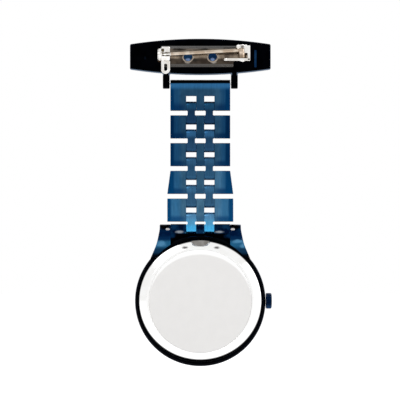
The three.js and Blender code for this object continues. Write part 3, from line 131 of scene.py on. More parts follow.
# Bracelet: a pin's end has a radius, its depth in the link and its height over it
ROWS = 5
ROW_PITCH = 7.65
FIRST_PIN_Z = -13.47
PIN_SPAN = 3.62
OVERHANG = 1.39
SHOULDER_Z = -10.8
LINK_DEPTH = 1.3
LINK_CROWNING = 0.07
LINK_CORNER = 0.62
CENTRE_HALF = 1.1
OUTER_IN = 3.9
BAND_HALF = 8.25
BAND_HALF_LOW = 9.1
UPPER_BORE = 0.76
PIN_RADIUS = 0.45
PIN_END = (0.42, 0.3, 0.03)
CONNECTOR_IN = 1.106
CONNECTOR_OUT = 3.894
CONNECTOR_RADIUS = 1.19
LAST_RADIUS = 1.15
PLAN_MARGIN = 2.0
NECK_IN = 1.46
NECK_OUT = 3.5
NECK_INSET = 0.05
NECK_SLOPE = 0.12
LOWER_Z = -47.6

# Case and lugs
CASE_Z = -67.3
HEAD_AXIS = (0.0, CASE_Z)
CASE_RADIUS = 18.0
CASE_FLANK = 17.8
CASE_FRONT = -4.4
CASE_REAR = 0.4
CASE_PROFILE = (
    (15.2, CASE_FRONT), (17.2, CASE_FRONT), (CASE_RADIUS, CASE_FRONT + 0.8), (CASE_RADIUS, CASE_REAR - 0.8),
    (17.2, CASE_REAR), (15.2, CASE_REAR),
)
LUG_IN = 8.2
LUG_TIP = 11.2
LUG_ROOT = 13.8
LUG_EYE = 1.4
LUG_TOP = 1.6
LUG_FLANK = ((LUG_TIP, LUG_TOP), (LUG_TIP, 0.0), (12.0, -3.9))
LUG_DEPTH_DROP = 7.5
LUG_INNER_ROOT = 13.8
LUG_ROUNDING = 1.2
# A grey oval at each lug's tip is a painted highlight, standing in for the spring bar's end
STUD_X = 8.97
STUD_RISE = 0.05
STUD_RADII = (0.6, 0.38)
STUD_Y = (-1.0, -0.38)
END_PLAY = 0.01
WEB_TOP = 1.45
WEB_DROP = 0.1

# Bezel, glass, back and crown: profiles are [radius, Y] points, the crown's counted from its ends,
# and a rod is [radius, from, to]
BEZEL_PROFILE = (
    (14.9, CASE_FRONT), (17.0, CASE_FRONT), (17.4, CASE_FRONT - 0.4), (16.4, -6.4), (15.9, -6.4),
    (15.9, -5.4), (14.9, -5.4),
)
GLASS_PROFILE = ((0, -5.4), (15.5, -5.4), (15.5, -6.2), (15.2, -6.5), (0, -6.5))
BACK_PROFILE = (
    (0, 1.1), (14.6, 1.1), (14.6, -0.6), (15.08, -0.6), (15.08, CASE_REAR), (16.8, CASE_REAR),
    (16.8, 0.85), (14.9, 1.9), (14.22, 1.9), (14.22, 1.5), (0, 1.5),
)
DISC = (14.2, 1.5, 1.85)
NOTCH_CENTRE = 18.2
NOTCH_RADIUS = 3.2
NOTCH_FLOOR = 0.86
NOTCH_HALF = 2.5
NOTCH_RIM = 16.7
NOTCH_INNER = 3.15
NOTCH_PLATE = (0.8, 0.875)
STEM_Y = -2.0
CROWN_INNER = -18.05
CROWN_OUTER = -19.75
FLUTES = 20
FLUTE_DEPTH = 0.16
FLUTE_SHARPNESS = 0.6
FLUTE_RADIUS = 1.9
FLUTE_SPAN = (1.45, 0.2)
CROWN_INNER_EDGE = ((0.6, 0), (1.85, 0), (2.05, 0.08), (2.13, 0.22), (2.15, 0.3), (2.15, 1.38), (2.1, 1.44))
CROWN_OUTER_EDGE = ((1.95, 0.12), (1.7, 0.03), (1.2, 0), (0, 0))

# Dial and hands: a bar is [from, to, inner width, outer width], numerals are [distance, size], and a
# hand is [length, width, Y, hub radius, tail]
DIAL_FACE = -4.1
DIAL_REAR = -3.7
DIAL_BORE = 1.1
DIAL_RADIUS = 14.8
HOURS = 12
MINUTES = 60
HOUR_BAR = (11.7, 13.7, 0.7, 0.7)
MINUTE_BAR = (13.1, 13.9, 0.12, 0.12)
HOUR_NUMERALS = (9.9, 2.9)
INNER_NUMERALS = (7.1, 1.25)
PRINT_DEPTH = 0.012
NUMERAL_WEIGHT = 0.014
NUMERAL_SPACING = 0.85
SHOWN_HOURS = 10
SHOWN_MINUTES = 10
SHOWN_SECONDS = 36
HOUR_HAND = (8.0, 1.3, -4.4, 1.25, 0.0)
MINUTE_HAND = (11.6, 1.0, -4.7, 0.9, 0.0)
SECOND_HAND = (12.4, 0.35, -5.0, 0.58, 2.6)
HAND_THICKNESS = 0.15
HUB_WALL = 0.3
WIDEST_SHARE = 0.72

# Sides of round pieces
PIN_SIDES = 20
WIRE_SIDES = 28
BORE_SIDES = 32
SMALL_SIDES = 40
RING_SIDES = 48
NOTCH_SIDES = 64
CATCH_SIDES = 72
DIAL_SIDES = 160
GLASS_SIDES = 200
CASE_SIDES = 220


# Meshes
TINY = 1e-6
STRAIGHT = math.radians(172)
ROUNDING_SHARE = 0.45
FLAT_ANGLE = math.radians(0.5)
COPY_MERGE = 1e-6
CUT_MERGE = 2e-7
BEVEL_ANGLE = math.radians(32)
PLACE = {
    "x": lambda a, u, v: (a, u, v),
    "y": lambda a, u, v: (u, a, v),
    "z": lambda a, u, v: (u, v, a),
}


def point(axis, a, u, v):
    return Vector(PLACE[axis](a, u, v)) * MM


def span(side, inner, outer):
    """The two ends of a stretch on one side of the middle, the lower one first."""
    return sorted((side * inner, side * outer))


def arc(cu, cv, radius, start, end, steps):
    """Points on an arc, its angles in degrees."""
    angles = [math.radians(start + (end - start) * k / steps) for k in range(steps + 1)]
    return [(cu + radius * math.cos(t), cv + radius * math.sin(t)) for t in angles]


def oval(cu, cv, reach_u, reach_v):
    return [(cu + reach_u * u, cv + reach_v * v) for u, v in arc(0, 0, 1, 0, 345, 23)]


def rod(radius, lo, hi):
    """The profile of a round rod."""
    return [(0, lo), (radius, lo), (radius, hi), (0, hi)]


def band(inner, outer, lo, hi):
    """The profile of a round ring."""
    return [(inner, lo), (outer, lo), (outer, hi), (inner, hi)]


def moved(profile, start, way=1):
    """The profile counted from a start, forwards or backwards."""
    return [(radius, start + way * a) for radius, a in profile]


def softened(points, radius, steps=4, closed=True):
    """The same outline with its corners rounded."""
    result, n = [], len(points)
    for i, p in enumerate(points):
        here, before, after = Vector(p), Vector(points[i - 1]), Vector(points[(i + 1) % n])
        back, on = before - here, after - here
        end = not closed and i in (0, n - 1)
        if end or min(back.length, on.length) < TINY or back.angle(on) > STRAIGHT:
            result.append(p)
            continue
        reach = min(radius, ROUNDING_SHARE * back.length, ROUNDING_SHARE * on.length)
        a, b = here + back.normalized() * reach, here + on.normalized() * reach
        for k in range(steps + 1):
            t = k / steps
            q = a * (1 - t) ** 2 + here * 2 * t * (1 - t) + b * t**2
            result.append((q.x, q.y))
    return result


def rectangle(u0, u1, v0, v1, radius=0.0, steps=5):
    corners = [(u0, v0), (u1, v0), (u1, v1), (u0, v1)]
    return softened(corners, radius, steps) if radius else corners


def add_prism(bm, axis, outline, lo, hi):
    rings = [[bm.verts.new(point(axis, a, u, v)) for u, v in outline] for a in (lo, hi)]
    n = len(outline)
    for i in range(n):
        j = (i + 1) % n
        bm.faces.new((rings[0][i], rings[0][j], rings[1][j], rings[1][i]))
    bm.faces.new(rings[0][::-1])
    bm.faces.new(rings[1])
    return rings


def add_turned(bm, axis, profile, centre, segments, swell=None):
    """A body turned about an axis from [radius, place along the axis] points."""
    rings = []
    for radius, a in profile:
        if radius < TINY:
            rings.append([bm.verts.new(point(axis, a, *centre))])
            continue
        ring = []
        for k in range(segments):
            t = 2 * math.pi * k / segments
            r = radius + (swell(radius, a, t) if swell else 0)
            place = point(axis, a, centre[0] + r * math.cos(t), centre[1] + r * math.sin(t))
            ring.append(bm.verts.new(place))
        rings.append(ring)
    pairs = list(zip(rings, rings[1:]))
    if all(radius > TINY for radius, _ in profile):
        pairs.append((rings[-1], rings[0]))
    for p, q in pairs:
        for k in range(segments):
            j = (k + 1) % segments
            if len(p) == 1:
                bm.faces.new((p[0], q[j], q[k]))
            elif len(q) == 1:
                bm.faces.new((p[k], p[j], q[0]))
            else:
                bm.faces.new((p[k], p[j], q[j], q[k]))


def in_scene(name, data):
    obj = bpy.data.objects.new(name, data)
    bpy.context.scene.collection.objects.link(obj)
    return obj


def placed(name, bm):
    mesh = bpy.data.meshes.new(name)
    bm.to_mesh(mesh)
    bm.free()
    return in_scene(name, mesh)


def made(name, fill):
    """A new object whose mesh the given function fills."""
    bm = bmesh.new()
    fill(bm)
    bmesh.ops.recalc_face_normals(bm, faces=bm.faces)
    return placed(name, bm)


def prism(name, axis, outline, lo, hi):
    return made(name, lambda bm: add_prism(bm, axis, outline, lo, hi))


def turned(name, axis, profile, centre, segments, swell=None):
    return made(name, lambda bm: add_turned(bm, axis, profile, centre, segments, swell))


def merged(mesh, distance):
    """The mesh with close points joined and flat faces merged."""
    bm = bmesh.new()
    bm.from_mesh(mesh)
    bmesh.ops.remove_doubles(bm, verts=bm.verts, dist=distance)
    bmesh.ops.dissolve_limit(bm, angle_limit=FLAT_ANGLE, verts=bm.verts, edges=bm.edges)
    return bm


def evaluated(obj):
    return bpy.data.meshes.new_from_object(obj.evaluated_get(bpy.context.evaluated_depsgraph_get()))


def shaped(obj, how, *tools):
    """Joins, cuts or crosses an object with others, which are used up."""
    for tool in tools:
        mod = obj.modifiers.new("shape", "BOOLEAN")
        mod.operation, mod.solver, mod.object = how, "EXACT", tool
    mesh = evaluated(obj)
    obj.modifiers.clear()
    obj.data = mesh
    for tool in tools:
        bpy.data.objects.remove(tool)
    bm = merged(mesh, CUT_MERGE)
    bm.to_mesh(mesh)
    bm.free()


def copied(name, node):
    """A copy of a CAD solid, ready for rounded edges."""
    return placed(name, merged(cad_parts[node].data, COPY_MERGE))


def dressed(obj, body, material, edge=None, bevel=0.0, steps=3, replaces=None):
    """Rounds the edges, gives the materials and hangs the piece on its body."""
    obj.data.materials.clear()
    obj.data.materials.append(material)
    if edge:
        obj.data.materials.append(edge)
    for face in obj.data.polygons:
        face.use_smooth = True
        face.material_index = 0
    if bevel:
        mod = obj.modifiers.new("edges", "BEVEL")
        mod.width, mod.segments, mod.limit_method = bevel * MM, steps, "ANGLE"
        mod.angle_limit = BEVEL_ANGLE
        mod.material = 1 if edge else -1
    normal = obj.modifiers.new("normals", "WEIGHTED_NORMAL")
    normal.keep_sharp = False
    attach(obj, body)
    if replaces:
        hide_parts(replaces)


# Materials
EVEN = (1, 1, 1)
BRUSH_UP = (1, 1, 0.03)
BRUSH_ACROSS = (0.03, 1, 1)
NOISE_ROUGHNESS = 0.55
GRAIN_DETAIL = 3.0
CLOUD_DETAIL = 2.0
CLOUD_RANGE = (0.35, 0.65)
STREAK_RANGE = (0.3, 0.7)
ROUGH_RANGE = (0.25, 0.75)
BUMP_STRENGTH = 0.5


def nodes_of(name):
    material = bpy.data.materials.new(name)
    material.use_nodes = True
    tree = material.node_tree
    return material, tree, tree.nodes["Principled BSDF"]


def feed(socket, value):
    """Gives an input its number, its colour or another node's output."""
    if isinstance(value, bpy.types.NodeSocket):
        socket.id_data.links.new(value, socket)
    else:
        socket.default_value = value


def fed(node, **inputs):
    for name, value in inputs.items():
        feed(node.inputs[name.replace("_", " ")], value)
    return node


def new_node(tree, kind, **inputs):
    return fed(tree.nodes.new("ShaderNode" + kind), **inputs)


def object_place(tree):
    return new_node(tree, "TexCoord").outputs["Object"]


def noise(tree, scale, detail=CLOUD_DETAIL, stretch=EVEN):
    place = new_node(tree, "Mapping", Vector=object_place(tree), Scale=stretch).outputs["Vector"]
    texture = new_node(tree, "TexNoise", Vector=place, Scale=scale, Detail=detail, Roughness=NOISE_ROUGHNESS)
    return texture.outputs["Fac"]


def mapped(value, lo, hi, to_lo, to_hi, smooth=False):
    tree = value.id_data
    node = new_node(tree, "MapRange", Value=value, From_Min=lo, From_Max=hi, To_Min=to_lo, To_Max=to_hi)
    node.interpolation_type = "SMOOTHSTEP" if smooth else "LINEAR"
    return node.outputs["Result"]


def calc(how, *values):
    node = new_node(values[0].id_data, "Math")
    node.operation = how
    for socket, value in zip(node.inputs, values):
        feed(socket, value)
    return node.outputs[0]


def mixed(tree, factor, a, b, how="MIX"):
    """Two colours mixed, each a tuple or another node's output."""
    node = new_node(tree, "Mix", Factor=factor)
    node.data_type, node.blend_type = "RGBA", how
    for socket, colour in zip(node.inputs[6:8], (a, b)):
        feed(socket, (*colour, 1.0) if isinstance(colour, tuple) else colour)
    return node.outputs[2]


def metal(name, colour, other, rough, stretch=EVEN, grain=9000.0, bump=0.004, metallic=1.0, zones=(),
          cloud=420.0, grain_mark=0.16, marks=()):
    """A grained metal of two slowly changing tones, with zones and marks of other colours.

    Rough is (least, most). A zone is (axis, start, end, colour, strength): its colour grows from start
    to end and stays beyond it, and a centre added at its end is what both are counted from. A mark is
    (mask function, colour).
    """
    material, tree, shader = nodes_of(name)
    fine = noise(tree, grain, GRAIN_DETAIL, stretch)
    slow = noise(tree, cloud)
    tone = mixed(tree, mapped(slow, *CLOUD_RANGE, 0.0, 1.0, True), colour, other)
    place = new_node(tree, "SeparateXYZ", Vector=object_place(tree)).outputs
    for axis, start, end, tint, strength, *centre in zones:
        along = place[axis.upper()]
        if centre:
            along = calc("ABSOLUTE", calc("SUBTRACT", along, centre[0] * MM))
        lo, hi, at_lo, at_hi = (start, end, 0.0, strength) if start < end else (end, start, strength, 0.0)
        tone = mixed(tree, mapped(along, lo * MM, hi * MM, at_lo, at_hi, True), tone, tint)
    for mask_of, tint in marks:
        tone = mixed(tree, mask_of(place), tone, tint)
    dark, light = (1 - grain_mark,) * 3, (1 + grain_mark,) * 3
    streak = mixed(tree, mapped(fine, *STREAK_RANGE, 0.0, 1.0), dark, light)
    relief = new_node(tree, "Bump", Strength=BUMP_STRENGTH, Distance=bump * MM, Height=fine)
    fed(shader, Base_Color=mixed(tree, 1.0, tone, streak, "MULTIPLY"), Metallic=metallic,
        Roughness=mapped(fine, *ROUGH_RANGE, *rough), Normal=relief.outputs["Normal"])
    return material


def plain(name, colour, other, rough, grain=6000.0):
    """A lacquer, rubber or plastic."""
    return metal(name, colour, other, rough, grain=grain, bump=0.002, metallic=0.0, cloud=500.0,
                 grain_mark=0.03)


# Red grows faster with light than blue, so a brighter steel looks greyer.
GROWTH = (1.5, 1.08, 0.85)


def lit(colour, light):
    return tuple(part * light**growth for part, growth in zip(colour, GROWTH))


def reach_from(place, centre_x, centre_z, half_x, half_z):
    """The distance from an oval's middle, as a share of its size."""
    squares = []
    for axis, middle, half in (("X", centre_x, half_x), ("Z", centre_z, half_z)):
        along = calc("SUBTRACT", place[axis], middle * MM)
        share = calc("ABSOLUTE", calc("DIVIDE", along, half * MM))
        squares.append(calc("POWER", share, 2))
    return calc("SQRT", calc("ADD", *squares))


def outside(centre_x, centre_z, half_x, half_z, blur=0.02):
    """Everything outside an oval, where painted light or shade goes."""
    def mask(place):
        away = reach_from(place, centre_x, centre_z, half_x, half_z)
        return mapped(away, 1.0 - blur, 1.0, 0.0, 1.0, True)
    return mask


# A spot is full within the first share of its oval and gone at the second, with an uneven edge, and
# shows only behind REAR_FADE.
SPOT_GRAIN = 900.0
SPOT_NOISE = (0.2, 0.8)
SPOT_WAVER = 0.35
SPOT_FADE = (0.3, 1.25)
REAR_FADE = (-1.7, -1.5)


def spots(*ovals):
    """Soft patches of painted light or shade on the rear only."""
    def mask(place):
        uneven = mapped(noise(place["Y"].id_data, SPOT_GRAIN), *SPOT_NOISE, -SPOT_WAVER, SPOT_WAVER)
        found = None
        for patch in ovals:
            away = calc("ADD", reach_from(place, *patch), uneven)
            one = mapped(away, *SPOT_FADE, 1.0, 0.0, True)
            found = one if found is None else calc("MAXIMUM", found, one)
        rear = mapped(place["Y"], *(y * MM for y in REAR_FADE), 0.0, 1.0)
        return calc("MULTIPLY", found, rear)
    return mask


# Brooch bar and its back
PITCH_BLACK = (0.0003, 0.0004, 0.0008)
black_steel = metal("black_steel", PITCH_BLACK, (0.0006, 0.0008, 0.0016), (0.16, 0.26), BRUSH_ACROSS)
# The bar's edge has a painted highlight in blue-grey below z -3.5, and painted shade in pitch black below z
# -5.15
black_edge = metal(
    "black_edge", (0.002, 0.003, 0.006), (0.004, 0.006, 0.012), (0.12, 0.2), BRUSH_ACROSS,
    zones=[("z", -3.0, -3.5, (0.11, 0.15, 0.21), 0.9), ("z", -5.0, -5.15, PITCH_BLACK, 1.0)],
)
# Strips on the bar's back are painted reflections: lighter blue on the -X side, faint on the +X side
blue_glint = metal("blue_glint", (0.004, 0.02, 0.06), (0.008, 0.035, 0.09), (0.2, 0.3))
faint_blue_glint = metal("faint_blue_glint", (0.001, 0.002, 0.004), (0.002, 0.004, 0.008), (0.2, 0.3))
# Each dish under the strip's holes carries a lighter blue patch, a painted highlight
hole_blue = metal(
    "hole_blue", (0.003, 0.015, 0.05), (0.006, 0.03, 0.08), (0.2, 0.3),
    marks=[(spots((HOLE_X, -0.75, 0.7, 0.5), (-HOLE_X, -0.75, 0.7, 0.5)), (0.16, 0.24, 0.42))],
)

# Each row is painted darker on its sides and lower edge as painted shade, with painted highlights across its
# face, and the lower rows reflect more light, so they are painted lighter as lit copies of one steel.
ROW_LIGHT = (0.97, 0.74, 1.0, 1.45, 2.05)
SIDE_LIGHT = (1.0, 0.55, 0.75, 1.35, 1.6)
LINK_MID = (0.017, 0.06, 0.116)
LINK_OUTER = (0.008, 0.055, 0.135)
LINK_SIDE_SHADE = (0.0006, 0.026, 0.088)
LINK_LOW_SHADE = (0.0018, 0.022, 0.075)
LINK_GLARE = (0.024, 0.118, 0.265)
LINK_SHINE = (0.06, 0.18, 0.32)
SHINE_BRIGHT = 0.55
SHINE_FAINT = 0.12
FIRST_LOW_FADE = 2.9
LOW_FADE = 2.1
# Row 1's barrel: a painted glare below its top and a band of painted shade at the very top
BARREL_ZONES = [("z", -9.3, -8.0, LINK_GLARE, 0.9), ("z", -7.5, -7.15, PITCH_BLACK, 1.0)]


def row_steels(row):
    light = ROW_LIGHT[row - 1]
    low = row_z(row)[0] - OVERHANG
    side = BAND_HALF_LOW if row > 4 else BAND_HALF
    zones = [
        ("x", 4.6, 6.4, lit(LINK_OUTER, light), 0.85, 0),
        ("x", 2.2, 0.4, LINK_SHINE, SHINE_BRIGHT if row > 3 else SHINE_FAINT, -4.6),
        ("z", low + (FIRST_LOW_FADE if row == 1 else LOW_FADE), low + 0.9, lit(LINK_LOW_SHADE, light), 0.85),
        ("x", 5.6, 3.6, lit(LINK_MID, light * 0.9), 0.6, 0),
        ("x", side - 1.5, side - 0.8, lit(LINK_SIDE_SHADE, SIDE_LIGHT[row - 1]), 0.95, 0.15),
    ]
    barrel = BARREL_ZONES if row == 1 else []
    face = metal(f"link_steel_{row}", lit(LINK_MID, light * 0.82), lit(LINK_MID, light * 1.25),
                 (0.28, 0.4), BRUSH_UP, cloud=320.0, zones=zones + barrel)
    edge = metal(f"link_edge_{row}", lit(LINK_LOW_SHADE, light), lit(LINK_MID, light), (0.14, 0.22),
                 BRUSH_ACROSS, zones=barrel)
    return face, edge


# Each connector's tones below its upper hole, at the gap between the rows and below the gap, are painted
# light: lighter towards the lower rows, with a painted reflection at the lowest ends.
CONNECTOR_TOP = (
    (0.0095, 0.05, 0.11), (0.022, 0.088, 0.19), (0.023, 0.08, 0.16), (0.033, 0.11, 0.21), (0.065, 0.19, 0.34),
)
CONNECTOR_NECK = (
    (0.008, 0.03, 0.07), (0.012, 0.045, 0.1), (0.017, 0.062, 0.13), (0.024, 0.08, 0.16), (0.07, 0.27, 0.47),
)
CONNECTOR_FOOT = (
    (0.009, 0.035, 0.085), (0.016, 0.056, 0.12), (0.022, 0.078, 0.155), (0.026, 0.082, 0.158),
    (0.055, 0.36, 0.66),
)


def connector_steels(row):
    top = row_z(row)[0]
    head, neck, foot = CONNECTOR_TOP[row - 1], CONNECTOR_NECK[row - 1], CONNECTOR_FOOT[row - 1]
    zones = [("z", top - 0.2, top - 1.5, neck, 1.0), ("z", top - 1.8, top - 3.0, foot, 1.0)]
    face = metal(f"connector_steel_{row}", head, tuple(1.15 * c for c in head), (0.24, 0.34), BRUSH_UP,
                 zones=zones)
    edge = metal(f"connector_edge_{row}", neck, foot, (0.14, 0.22))
    return face, edge


# Case, lugs, end link and crown, with painted reflections and painted shade between the lugs
# The polished case is painted near black, which is its dark reflection, and its outer flank (case_edge)
# carries a painted blue reflection
case_steel = metal("case_steel", PITCH_BLACK, (0.0004, 0.0008, 0.002), (0.1, 0.18))
case_edge = metal("case_edge", (0.0012, 0.006, 0.02), (0.002, 0.01, 0.032), (0.12, 0.2))
# Bands down the lugs and patches near their tips are painted reflections and shade: black at the tips and
# towards the case, light blue streaks and patches between
lug_zones = [
    ("z", -46.9, -48.4, (0.0006, 0.008, 0.04), 0.85),
    ("z", -49.0, -50.0, (0.002, 0.022, 0.075), 0.8),
    ("z", -50.2, -51.2, (0.02, 0.13, 0.26), 0.75),
    ("z", -51.9, -53.2, (0.004, 0.018, 0.05), 0.85),
    ("z", -53.6, -54.8, PITCH_BLACK, 0.95),
]
lug_marks = [
    (spots((10.7, -51.5, 1.6, 0.9), (-10.3, -50.9, 1.7, 0.6), (-11.9, -52.0, 1.1, 0.7)), (0.07, 0.22, 0.38)),
    (spots((9.9, -46.9, 1.9, 1.0), (-9.7, -46.9, 2.2, 1.0)), PITCH_BLACK),
]
lug_steel = metal("lug_steel", PITCH_BLACK, (0.003, 0.035, 0.1), (0.14, 0.24), cloud=800.0,
                  zones=lug_zones, marks=lug_marks)
lug_edge = metal("lug_edge", (0.001, 0.004, 0.012), (0.008, 0.035, 0.09), (0.14, 0.24), cloud=800.0,
                 zones=lug_zones)
# The end link is painted pitch black low down by the case as painted shade, with painted glints where the
# background shows past it, painted reflections of the connectors, and painted shade in its lower corners
end_zones = [("z", -48.5, -48.9, PITCH_BLACK, 1.0)]
end_marks = [
    (spots((5.7, -48.25, 1.1, 0.4), (-5.2, -48.25, 1.5, 0.35)), (0.24, 0.27, 0.3)),
    (spots((2.5, -48.4, 1.5, 0.4), (-2.5, -48.4, 1.5, 0.4)), (0.06, 0.34, 0.6)),
    (spots((8.0, -49.3, 1.3, 0.8), (-8.0, -49.3, 1.3, 0.8)), (0.001, 0.016, 0.055)),
]
end_steel = metal("end_steel", (0.0004, 0.004, 0.02), (0.003, 0.024, 0.07), (0.16, 0.26), BRUSH_UP,
                  cloud=600.0, zones=end_zones, marks=end_marks)
end_edge = metal("end_edge", (0.003, 0.018, 0.05), (0.008, 0.03, 0.07), (0.12, 0.2), zones=end_zones,
                 marks=end_marks)
# The crown is painted lighter and bluer below its middle, a painted reflection
crown_steel = metal("crown_steel", (0.0006, 0.005, 0.02), (0.002, 0.012, 0.04), (0.18, 0.28),
                    zones=[("z", CASE_Z - 0.6, CASE_Z - 2.0, (0.005, 0.03, 0.09), 0.8)])

# Bar pin
PLATED = (0.86, 0.85, 0.83)
PLATED_SHADE = (0.74, 0.71, 0.66)
WARM_SHADE = (0.42, 0.33, 0.25)
bright_steel = metal("bright_steel", PLATED, PLATED_SHADE, (0.07, 0.16), cloud=700.0, grain_mark=0.06)
# The strip is plated steel: its tan tone is a painted reflection, and its dark and light bands and patches
# are painted shade and painted highlights
strip_steel = metal(
    "strip_steel", (0.3, 0.24, 0.18), (0.09, 0.07, 0.055), (0.16, 0.28), BRUSH_ACROSS, cloud=330.0,
    grain_mark=0.2,
    zones=[
        ("z", 0.9, 1.6, (0.1, 0.085, 0.07), 0.7),
        ("z", 2.1, 2.4, (0.1, 0.1, 0.1), 0.9),
        ("z", -0.1, -0.8, (0.018, 0.013, 0.01), 0.88),
        ("z", -1.8, -2.2, (0.1, 0.095, 0.09), 1.0),
        ("z", -2.65, -2.85, (0.006, 0.006, 0.006), 1.0),
    ],
    marks=[
        (spots((3.6, -1.45, 0.8, 0.45), (-3.6, -1.45, 0.8, 0.45)), (0.24, 0.22, 0.2)),
        (spots((5.5, 2.05, 2.4, 0.35), (-1.0, 2.1, 2.0, 0.3), (1.6, -0.9, 1.2, 0.5)), (0.02, 0.017, 0.014)),
        (spots((11.3, -1.0, 0.7, 0.9)), (0.035, 0.02, 0.012)),
    ],
)
rim_steel = metal("rim_steel", (0.3, 0.25, 0.2), (0.2, 0.17, 0.14), (0.12, 0.2))
# A darker patch on the upper ear by the hinge is painted shade
ear_steel = metal("ear_steel", PLATED, PLATED_SHADE, (0.07, 0.16), cloud=700.0, grain_mark=0.06,
                  marks=[(spots((HINGE_X, 2.9, 0.6, 1.6)), (0.22, 0.19, 0.17))])
# The pin's warm tone is a painted reflection, its eye is painted darker towards the bottom as painted shade,
# and the wire keeps the plated colour from x 8.5 into the catch
eye_steel = metal("eye_steel", (0.62, 0.52, 0.43), WARM_SHADE, (0.1, 0.2), BRUSH_UP,
                  zones=[("z", 0.9, 0.2, (0.2, 0.14, 0.09), 0.7)])
stem_steel = metal("stem_steel", (0.6, 0.52, 0.43), WARM_SHADE, (0.1, 0.2), BRUSH_ACROSS,
                   zones=[("x", 7.9, 8.5, PLATED, 1.0)])
# Dark brown for the catch's pit, painted shade
pit_shade = metal("pit_shade", (0.07, 0.055, 0.03), (0.11, 0.085, 0.05), (0.4, 0.5))
stud_glint_steel = metal("stud_glint_steel", (0.5, 0.49, 0.49), (0.4, 0.39, 0.39), (0.14, 0.24))

# Case back: a mirror with a painted dark rim and two painted dark dots, painted reflections, round a satin
# disc with a painted lighter crescent, a painted highlight
# The mirror's dark rim and two dark dots are painted reflections
back_mirror = metal(
    "back_mirror", (0.93, 0.93, 0.925), (0.9, 0.895, 0.885), (0.05, 0.1), bump=0.0005, grain_mark=0.02,
    marks=[
        (spots((-4.5, CASE_Z + 14.75, 0.95, 0.42), (4.2, CASE_Z + 14.7, 0.95, 0.4)), (0.16, 0.15, 0.15)),
        (outside(0.0, CASE_Z + 0.2, 16.95, 16.4), PITCH_BLACK),
    ],
)
notch_grey = metal("notch_grey", (0.26, 0.25, 0.24), (0.18, 0.17, 0.16), (0.25, 0.35))
# A lighter crescent at the top of the disc is a painted highlight
back_satin = metal(
    "back_satin", (0.775, 0.765, 0.755), (0.765, 0.755, 0.745), (0.5, 0.6), grain=14000.0, bump=0.001,
    metallic=0.15, grain_mark=0.012,
    marks=[(outside(0.0, CASE_Z - 0.7, 14.7, 13.9, 0.05), (0.98, 0.98, 0.975))],
)

# Hands, movement, seals, dial and print
hand_steel = metal("hand_steel", (0.012, 0.012, 0.014), (0.02, 0.02, 0.024), (0.18, 0.26))
second_steel = metal("second_steel", (0.55, 0.02, 0.02), (0.6, 0.03, 0.03), (0.3, 0.4), metallic=0.2)
brass = metal("brass", (0.62, 0.42, 0.15), (0.55, 0.36, 0.12), (0.25, 0.35))
soft_iron = metal("soft_iron", (0.42, 0.42, 0.43), (0.36, 0.36, 0.37), (0.35, 0.45))
copper = metal("copper", (0.6, 0.2, 0.07), (0.5, 0.15, 0.05), (0.3, 0.4), (30, 1, 1), grain=900.0, bump=0.03)
rubber = plain("rubber", (0.018, 0.018, 0.018), (0.026, 0.026, 0.026), (0.6, 0.75))
holder_plastic = plain("holder_plastic", (0.74, 0.72, 0.67), (0.7, 0.68, 0.63), (0.4, 0.5))
board_green = plain("board_green", (0.015, 0.13, 0.055), (0.02, 0.16, 0.07), (0.3, 0.4))
dial_white = plain("dial_white", (0.86, 0.86, 0.84), (0.83, 0.83, 0.815), (0.35, 0.42), grain=9000.0)
print_black = plain("print_black", (0.008, 0.008, 0.009), (0.012, 0.012, 0.013), (0.4, 0.5))
print_red = plain("print_red", (0.42, 0.012, 0.012), (0.47, 0.018, 0.018), (0.4, 0.5))


def glass():
    material, tree, shader = nodes_of("watch_glass")
    haze = mapped(noise(tree, 500.0), *STREAK_RANGE, 0.0, 0.015)
    fed(shader, Base_Color=(0.97, 0.985, 0.99, 1.0), Roughness=haze, Transmission_Weight=1.0, IOR=1.45)
    return material


watch_glass = glass()


def bright(obj, body, bevel=0.0, material=bright_steel, replaces=None):
    dressed(obj, body, material, bevel=bevel, replaces=replaces)


# Brooch bar
def bar_outline():
    """Straight ends and bowed long edges."""
    rise = BAR_MID_HALF - BAR_END_HALF
    radius = (BAR_HALF_LENGTH**2 + rise**2) / (2 * rise)
    steps = 40
    xs = [BAR_HALF_LENGTH - 2 * BAR_HALF_LENGTH * k / steps for k in range(steps + 1)]
    top = [(x, BAR_MID_HALF - radius + math.sqrt(radius**2 - x**2)) for x in xs]
    return softened(top + [(-x, -z) for x, z in top], BAR_CORNER, 5)


def brooch_bar():
    bar = prism("brooch", "y", bar_outline(), BAR_FRONT, BAR_REAR)
    half = (BAR_REAR - BAR_FRONT) / 2
    tab = arc(BAND_Y, UPPER_Z, half, 180, 360, 24) + [(BAND_Y + half, PRONG_TOP), (BAND_Y - half, PRONG_TOP)]
    prongs = [prism("prong", "x", tab, *span(side, PRONG_INNER, PRONG_OUTER)) for side, _ in SIDES]
    shaped(bar, "UNION", *prongs)
    dressed(bar, "brooch", black_steel, black_edge, 0.28, 4, replaces="brooch_bar")
    for side, letter in SIDES:
        # Each side gets a thin strip of painted reflection and a dish
        (middle, half), tone = (LONG_LINE, blue_glint) if side < 0 else (SHORT_LINE, faint_blue_glint)
        left, right = side * LINE_X - LINE_HALF, side * LINE_X + LINE_HALF
        outline = rectangle(left, right, middle - half, middle + half, LINE_CORNER)
        line = prism(f"brooch_glint_{letter}", "y", outline, *LINE_Y)
        dressed(line, "brooch", tone, bevel=0.02, steps=2)
        hollow = moved(DISH_PROFILE, BAR_REAR)
        dish = turned(f"brooch_dish_{letter}", "y", hollow, (side * HOLE_X, 0.0), SMALL_SIDES)
        dressed(dish, "brooch", hole_blue)


